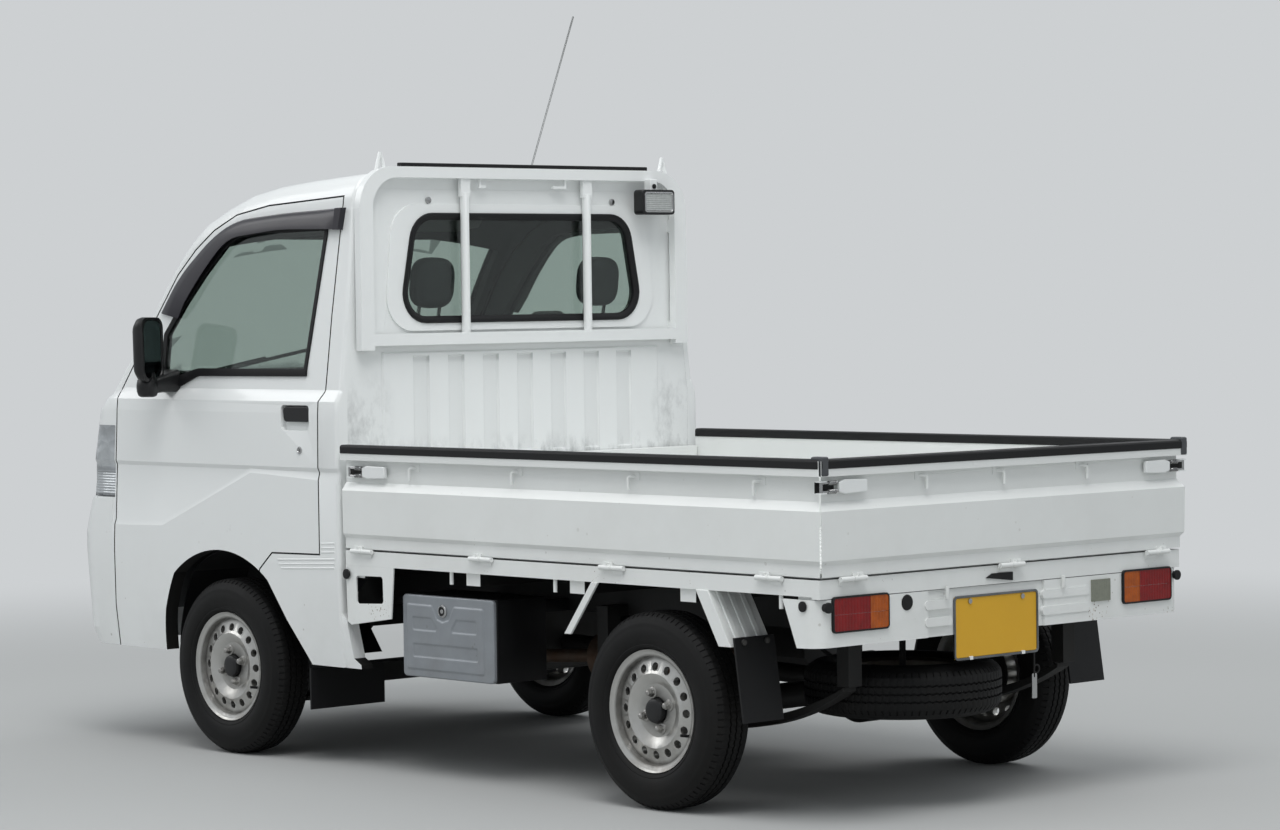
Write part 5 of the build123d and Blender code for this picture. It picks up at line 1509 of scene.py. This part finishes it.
@dataclass(frozen=True)
class Pad:
    """One stuffed pad of a seat: where it lies, how large it is and how it leans.

    Its shell is a superellipsoid: each coordinate is a cosine or sine of the two angles, raised in size
    to the power "square" with its sign kept.
    """

    name: str
    middle: Point
    half: Point
    lean_deg: float
    square: float = 0.34
    cap_mm: float = 8.0
    channels: tuple[float, ...] = ()
    steps: int = 56

    def _power(self, value: Array) -> Array:
        """Return values raised in size to the pad's power, with their signs kept."""
        return np.sign(value) * np.abs(value) ** self.square

    def shell(self) -> tuple[Array, list[Sequence[int]]]:
        """Return the points and faces of the closed shell about the origin."""
        rise = np.linspace(-math.pi / 2, math.pi / 2, self.steps // 2 + 1)[1:-1]
        turn = np.linspace(-math.pi, math.pi, self.steps, endpoint=False)
        ring = self._power(np.cos(rise))[:, None]
        height = np.repeat(self._power(np.sin(rise))[:, None], self.steps, axis=1)
        body = np.stack((ring * self._power(np.cos(turn)), ring * self._power(np.sin(turn)), height), axis=2)
        points = np.vstack(((0.0, 0.0, -1.0), body.reshape(-1, 3), (0.0, 0.0, 1.0))) * np.array(self.half)
        grid = np.arange(len(rise) * self.steps).reshape(len(rise), self.steps) + 1
        after = np.roll(grid, -1, axis=1)
        foot, crown = np.zeros(self.steps, dtype=int), np.full(self.steps, len(points) - 1)
        quads = np.stack((grid[:-1], after[:-1], after[1:], grid[1:]), axis=2).reshape(-1, 4)
        low, top = np.stack((foot, after[0], grid[0]), axis=1), np.stack((grid[-1], after[-1], crown), axis=1)
        return points, [*low.tolist(), *top.tolist(), *quads.tolist()]

    def build(self) -> None:
        """Swell the shell as stuffed cloth, press its channels in and put it in its place."""
        points, faces = self.shell()
        mesh = bpy.data.meshes.new(self.name)
        mesh.from_pydata((points * 0.985).tolist(), [], faces)
        piece = new_object(self.name, mesh, SEAT_CLOTH, "truck")
        self._swell(piece)
        mesh = piece.data
        spots = np.empty(len(mesh.vertices) * 3)
        mesh.vertices.foreach_get("co", spots)
        spots = spots.reshape(-1, 3)
        short = int(np.argmin(self.half))
        for place in self.channels:
            depth = 0.006 * np.exp(-(((spots[:, 1] - place) / 0.006) ** 2))
            spots[:, short] -= depth * np.sign(spots[:, short])
        cosine, sine = math.cos(math.radians(self.lean_deg)), math.sin(math.radians(self.lean_deg))
        along, across, up = spots.T
        turned = np.stack((along * cosine + up * sine, across, up * cosine - along * sine), axis=1)
        mesh.vertices.foreach_set("co", (turned + np.array(self.middle)).ravel())
        mesh.update()
        mesh.shade_smooth()
        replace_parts(piece, "seats")

    def _swell(self, piece: Piece) -> None:
        """Run the cloth simulation that fills the pad out, and keep its last shape.

        Args:
            piece: The pad, about the origin.
        """
        scene = bpy.context.scene
        remesh = piece.modifiers.new("even_faces", "REMESH")
        remesh.mode = "VOXEL"
        remesh.voxel_size = mm(9.0 if max(self.half) > 0.12 else 5.0)
        even = bpy.data.meshes.new_from_object(piece.evaluated_get(bpy.context.evaluated_depsgraph_get()))
        piece.modifiers.clear()
        piece.data = even
        even.materials.clear()
        even.materials.append(SEAT_CLOTH.material())
        start = np.array([vert.co[:] for vert in even.vertices])
        cloth = piece.modifiers.new("stuffing", "CLOTH")
        cloth.settings.use_pressure = True
        cloth.settings.uniform_pressure_force = 4.0
        cloth.settings.effector_weights.gravity = 0.0
        cloth.point_cache.frame_start, cloth.point_cache.frame_end = 1, 20
        for frame in range(1, 21):
            scene.frame_set(frame)
        full = piece.evaluated_get(bpy.context.evaluated_depsgraph_get())
        moved = np.array([vert.co[:] for vert in full.data.vertices]) - start
        length = np.maximum(np.linalg.norm(moved, axis=1, keepdims=True), 1e-9)
        piece.modifiers.clear()
        even.vertices.foreach_set("co", (start + moved * np.minimum(1.0, mm(self.cap_mm) / length)).ravel())
        even.update()
        scene.frame_set(1)


@dataclass(frozen=True)
class Seat:
    """A seat: cushion, back and head restraint as padded pieces, with its two posts and its base."""

    name: str
    y: float

    def build(self) -> None:
        """Make the seat's pieces in place of its CAD node."""
        name, y = self.name, self.y
        for pad in (
            Pad(f"seat_cushion_{name}", (0.665, y, 0.738), (0.238, 0.222, 0.070), 3.5, channels=(-0.13, 0.13)),
            Pad(f"seat_back_{name}", (0.452, y, 1.030), (0.052, 0.212, 0.298), -8.5, channels=(-0.12, 0.12)),
            Pad(f"head_restraint_{name}", (0.373, y, 1.432), (0.034, 0.078, 0.078), -7.0, square=0.62, cap_mm=5.0),
        ):
            pad.build()
        posts = Form()
        for at in (y - 0.040, y + 0.040):
            posts.tube(((0.404, at, 1.275), (0.381, at, 1.395)), 0.006, 12)
        base = Form().box((0.440, y - 0.190, 0.652), (0.880, y + 0.190, 0.690))
        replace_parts(posts.build(f"head_posts_{name}", BRIGHT_STEEL), "seats")
        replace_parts(base.build(f"seat_base_{name}", TRIM_PLASTIC, bevel_mm=4.0), "seats")


@dataclass(frozen=True)
class Viewpoint:
    """The photograph's camera: where it stood, where it pointed and how it framed the truck."""

    location: Point = (-8.2425, 7.421, 1.370)
    yaw_deg: float = -42.463
    pitch_down_deg: float = 1.946
    roll_deg: float = -0.804
    lens_mm: float = 103.65
    shift_x: float = 0.0177
    shift_y: float = 0.0085

    def build(self) -> None:
        """Make the camera, looking along the yaw and pitch and turned by the roll."""
        yaw, pitch, roll = (math.radians(a) for a in (self.yaw_deg, self.pitch_down_deg, self.roll_deg))
        ahead = Vector((math.cos(yaw) * math.cos(pitch), math.sin(yaw) * math.cos(pitch), -math.sin(pitch)))
        right = ahead.cross(Vector((0, 0, 1))).normalized()
        up = right.cross(ahead)
        right_turned = right * math.cos(roll) + up * math.sin(roll)
        up_turned = up * math.cos(roll) - right * math.sin(roll)
        data = bpy.data.cameras.new("photo_camera")
        data.lens = self.lens_mm
        data.sensor_width = 36.0
        data.shift_x = self.shift_x
        data.shift_y = self.shift_y
        data.clip_end = 100.0
        camera = bpy.data.objects.new("photo_camera", data)
        turn = Matrix((right_turned, up_turned, -ahead)).transposed()
        camera.matrix_world = Matrix.Translation(self.location) @ turn.to_4x4()
        bpy.context.scene.collection.objects.link(camera)
        bpy.context.scene.camera = camera


@dataclass(frozen=True)
class Lamp:
    """A soft studio lamp that points at the truck's middle."""

    name: str
    location: Point
    size: float
    watts: float

    def build(self) -> None:
        """Make the lamp."""
        data = bpy.data.lights.new(self.name, "AREA")
        data.shape = "DISK"
        data.size = self.size
        data.energy = self.watts
        lamp = bpy.data.objects.new(self.name, data)
        lamp.location = self.location
        aim = Vector((0.0, 0.0, 0.7)) - Vector(self.location)
        lamp.rotation_euler = aim.to_track_quat("-Z", "Y").to_euler()
        bpy.context.scene.collection.objects.link(lamp)


@dataclass(frozen=True)
class Studio:
    """A pale floor that fades into an even backdrop, an overcast sky and three soft lamps."""

    floor_half: float = 60.0
    floor_colour: str = "b4b5b4"
    backdrop: str = "cdd0d2"
    sky: str = "e9eef2"
    fade: Pair = (3.2, 8.0)
    zenith: float = 0.76
    horizon: float = 0.58
    nadir: float = 0.20
    lamps: tuple[Lamp, ...] = (
        Lamp("key_lamp", (-4.0, 3.5, 9.0), 6.0, 455.0),
        Lamp("fill_lamp", (7.0, 5.0, 6.0), 5.0, 140.0),
        Lamp("far_lamp", (0.0, -7.0, 8.0), 6.0, 165.0),
    )

    def build(self) -> None:
        """Make the floor, the world and the lamps."""
        self._floor()
        self._world()
        for lamp in self.lamps:
            lamp.build()

    def _floor(self) -> None:
        """Lay one large pale sheet on the ground, which the camera sees turn into the backdrop far out."""
        half = self.floor_half
        mesh = bpy.data.meshes.new("floor")
        mesh.from_pydata([(-half, -half, 0), (half, -half, 0), (half, half, 0), (-half, half, 0)], [], [(0, 1, 2, 3)])
        floor = bpy.data.objects.new("floor", mesh)
        bpy.context.scene.collection.objects.link(floor)
        made = bpy.data.materials.new("pale_floor")
        made.use_nodes = True
        tree = made.node_tree
        tree.nodes.clear()
        away = put(tree, "VectorMath", (put(tree, "TexCoord", out="Object"),), "Value", operation="LENGTH")
        far = put(tree, "MapRange", (away, *self.fade, 0.0, 1.0), interpolation_type="SMOOTHSTEP")
        far = put(tree, "Math", (far, put(tree, "LightPath", out="Is Camera Ray")), operation="MULTIPLY")
        lit = put(tree, "BsdfDiffuse", {"Color": srgb(self.floor_colour)})
        flat = put(tree, "Emission", {"Color": srgb(self.backdrop)})
        put(tree, "OutputMaterial", {"Surface": put(tree, "MixShader", (far, lit, flat))})
        mesh.materials.append(made)

    def _world(self) -> None:
        """Light the truck as an overcast sky does, and show the camera an even backdrop."""
        world = bpy.data.worlds.new("overcast_sky")
        bpy.context.scene.world = world
        world.use_nodes = True
        tree = world.node_tree
        tree.nodes.clear()
        height = put(tree, "SeparateXYZ", (put(tree, "TexCoord", out="Generated"),), "Z")
        above = put(tree, "MapRange", (height, 0.0, 1.0, self.horizon, self.zenith))
        below = put(tree, "MapRange", (height, -0.3, 0.0, self.nadir, self.horizon))
        is_above = put(tree, "Math", (height, 0.0), operation="GREATER_THAN")
        level = put(tree, "Mix", {0: is_above, 2: below, 3: above}, data_type="FLOAT")
        sky = put(tree, "Background", {"Color": srgb(self.sky), "Strength": level})
        plain = put(tree, "Background", {"Color": srgb(self.backdrop), "Strength": 1.0})
        seen = [put(tree, "LightPath", out=ray) for ray in ("Is Camera Ray", "Is Transmission Ray")]
        seen = put(tree, "Math", tuple(seen), operation="MAXIMUM")
        put(tree, "OutputWorld", {"Surface": put(tree, "MixShader", (seen, sky, plain))})


def panels() -> list[Panel]:
    """Return every CAD node's panel, those that come in a left and a right form last."""
    tail = (REAR_X - 0.02, REAR_X + 0.0212)
    spans = ((0.540, 0.7245), (-0.7245, -0.540), (-0.345, 0.345))
    # under=CHASSIS_BLACK lays painted shade under the body and in the wheel arches; edge=RUBBER lays painted shade on
    # the edges in the door gaps.
    made = [
        Panel("roof_panel", WHITE_PAINT, inner=HEADLINER, edge=RUBBER),
        Panel("cab_rear_panel", WALL_PAINT, inner=HEADLINER),
        Panel("front_panel", WHITE_PAINT, inner=TRIM_PLASTIC, under=CHASSIS_BLACK, edge=RUBBER),
        Panel("cab_sides", WHITE_PAINT, inner=TRIM_PLASTIC, under=CHASSIS_BLACK, edge=RUBBER),
        Panel("front_bumper", WHITE_PAINT, bevel_mm=3, under=CHASSIS_BLACK),
        Panel("headlamps", LAMP_BEZEL, bevel_mm=2.5),
        Panel("cab_glass", GLASS, bevel_mm=0),
        Panel("cab_floor", TRIM_PLASTIC),
        Panel("dashboard", TRIM_PLASTIC),
        Panel("guard_frame", WHITE_PAINT, bevel_mm=4),
        Panel("work_lamp", BLACK_PLASTIC),
        Panel("aerial", BRIGHT_STEEL, bevel_mm=0),
        Panel("chassis_frame", CHASSIS_BLACK, bevel_mm=2),
        Panel("engine", CAST_METAL, bevel_mm=10),
        Panel("drive_shafts", CHASSIS_BLACK, bevel_mm=0),
        Panel("rear_axle", CHASSIS_BLACK),
        Panel("leaf_springs", CHASSIS_BLACK),
        Panel("front_suspension", CHASSIS_BLACK),
        Panel("exhaust", EXHAUST_STEEL, bevel_mm=3),
        Panel("fuel_tank", CHASSIS_BLACK, bevel_mm=0),
        Panel("bed_floor", BED_PAINT, under=CHASSIS_BLACK),
        Panel("bed_frame", BED_PAINT, under=CHASSIS_BLACK),
        Panel("rear_panel", BED_PAINT),
        Panel("number_plate", PLATE_YELLOW, bevel_mm=0.5),
        Panel("side_panels", BED_PAINT),
        Panel("rear_arches", BED_PAINT),
        Panel("mud_flaps", RUBBER),
        Panel("toolbox", BLACK_PLASTIC),
        Panel("steering_wheel", BLACK_PLASTIC, "steering_wheel"),
        Panel(
            "tailgate", BED_PAINT, "tailgate",
            drops=tuple(((tail[0], low, 0.8505), (tail[1], high, 0.9145)) for low, high in spans),
        ),
        Panel("spare_rim", SPARE_SILVER),
    ]
    for side, way in SIDES.items():
        door, gate = f"door_{side}", f"side_gate_{side}"
        low, high = sorted((way * 0.7163, way * 0.7450))
        drops = tuple(((x[0], low, 0.8505), (x[1], high, 0.9145)) for x in ((0.055, 0.2455), (-1.475, -0.020)))
        made += [
            Panel(door, WHITE_PAINT, door, inner=TRIM_PLASTIC, under=CHASSIS_BLACK, edge=RUBBER),
            Panel(f"door_glass_{side}", GLASS, door, bevel_mm=0),
            Panel(gate, BED_PAINT, gate, drops=drops),
            Panel(f"knuckle_{side}", CHASSIS_BLACK, f"knuckle_{side}"),
            *(Panel(f"rim_{end}_{side}", WHEEL_SILVER, f"wheel_{end}_{side}") for end in ("front", "rear")),
        ]
    return made


def main() -> None:
    """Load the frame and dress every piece."""
    logging.basicConfig(level=logging.INFO, format="%(name)s: %(message)s")
    FRAME.nodes.update(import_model()["nodes"])
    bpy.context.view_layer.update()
    bpy.context.scene.view_settings.view_transform = "Standard"
    wheels = [Wheel(end, side) for side in SIDES for end in ("front", "rear")]
    spare = Tyre("tread_spare", "spare_tyre", "truck", (-1.3985, 0.120, 0.318), axis=2)
    doors, seats = [Door(side) for side in SIDES], [Seat("left", 0.291), Seat("right", -0.385)]
    fittings = (*wheels, spare, Cab(), *doors, Toolbox(), Gates(), Tail(), *seats, Guard())
    for assembly in (Viewpoint(), Studio(), *panels(), *fittings):
        assembly.build()


if __name__ == "__main__":
    main()
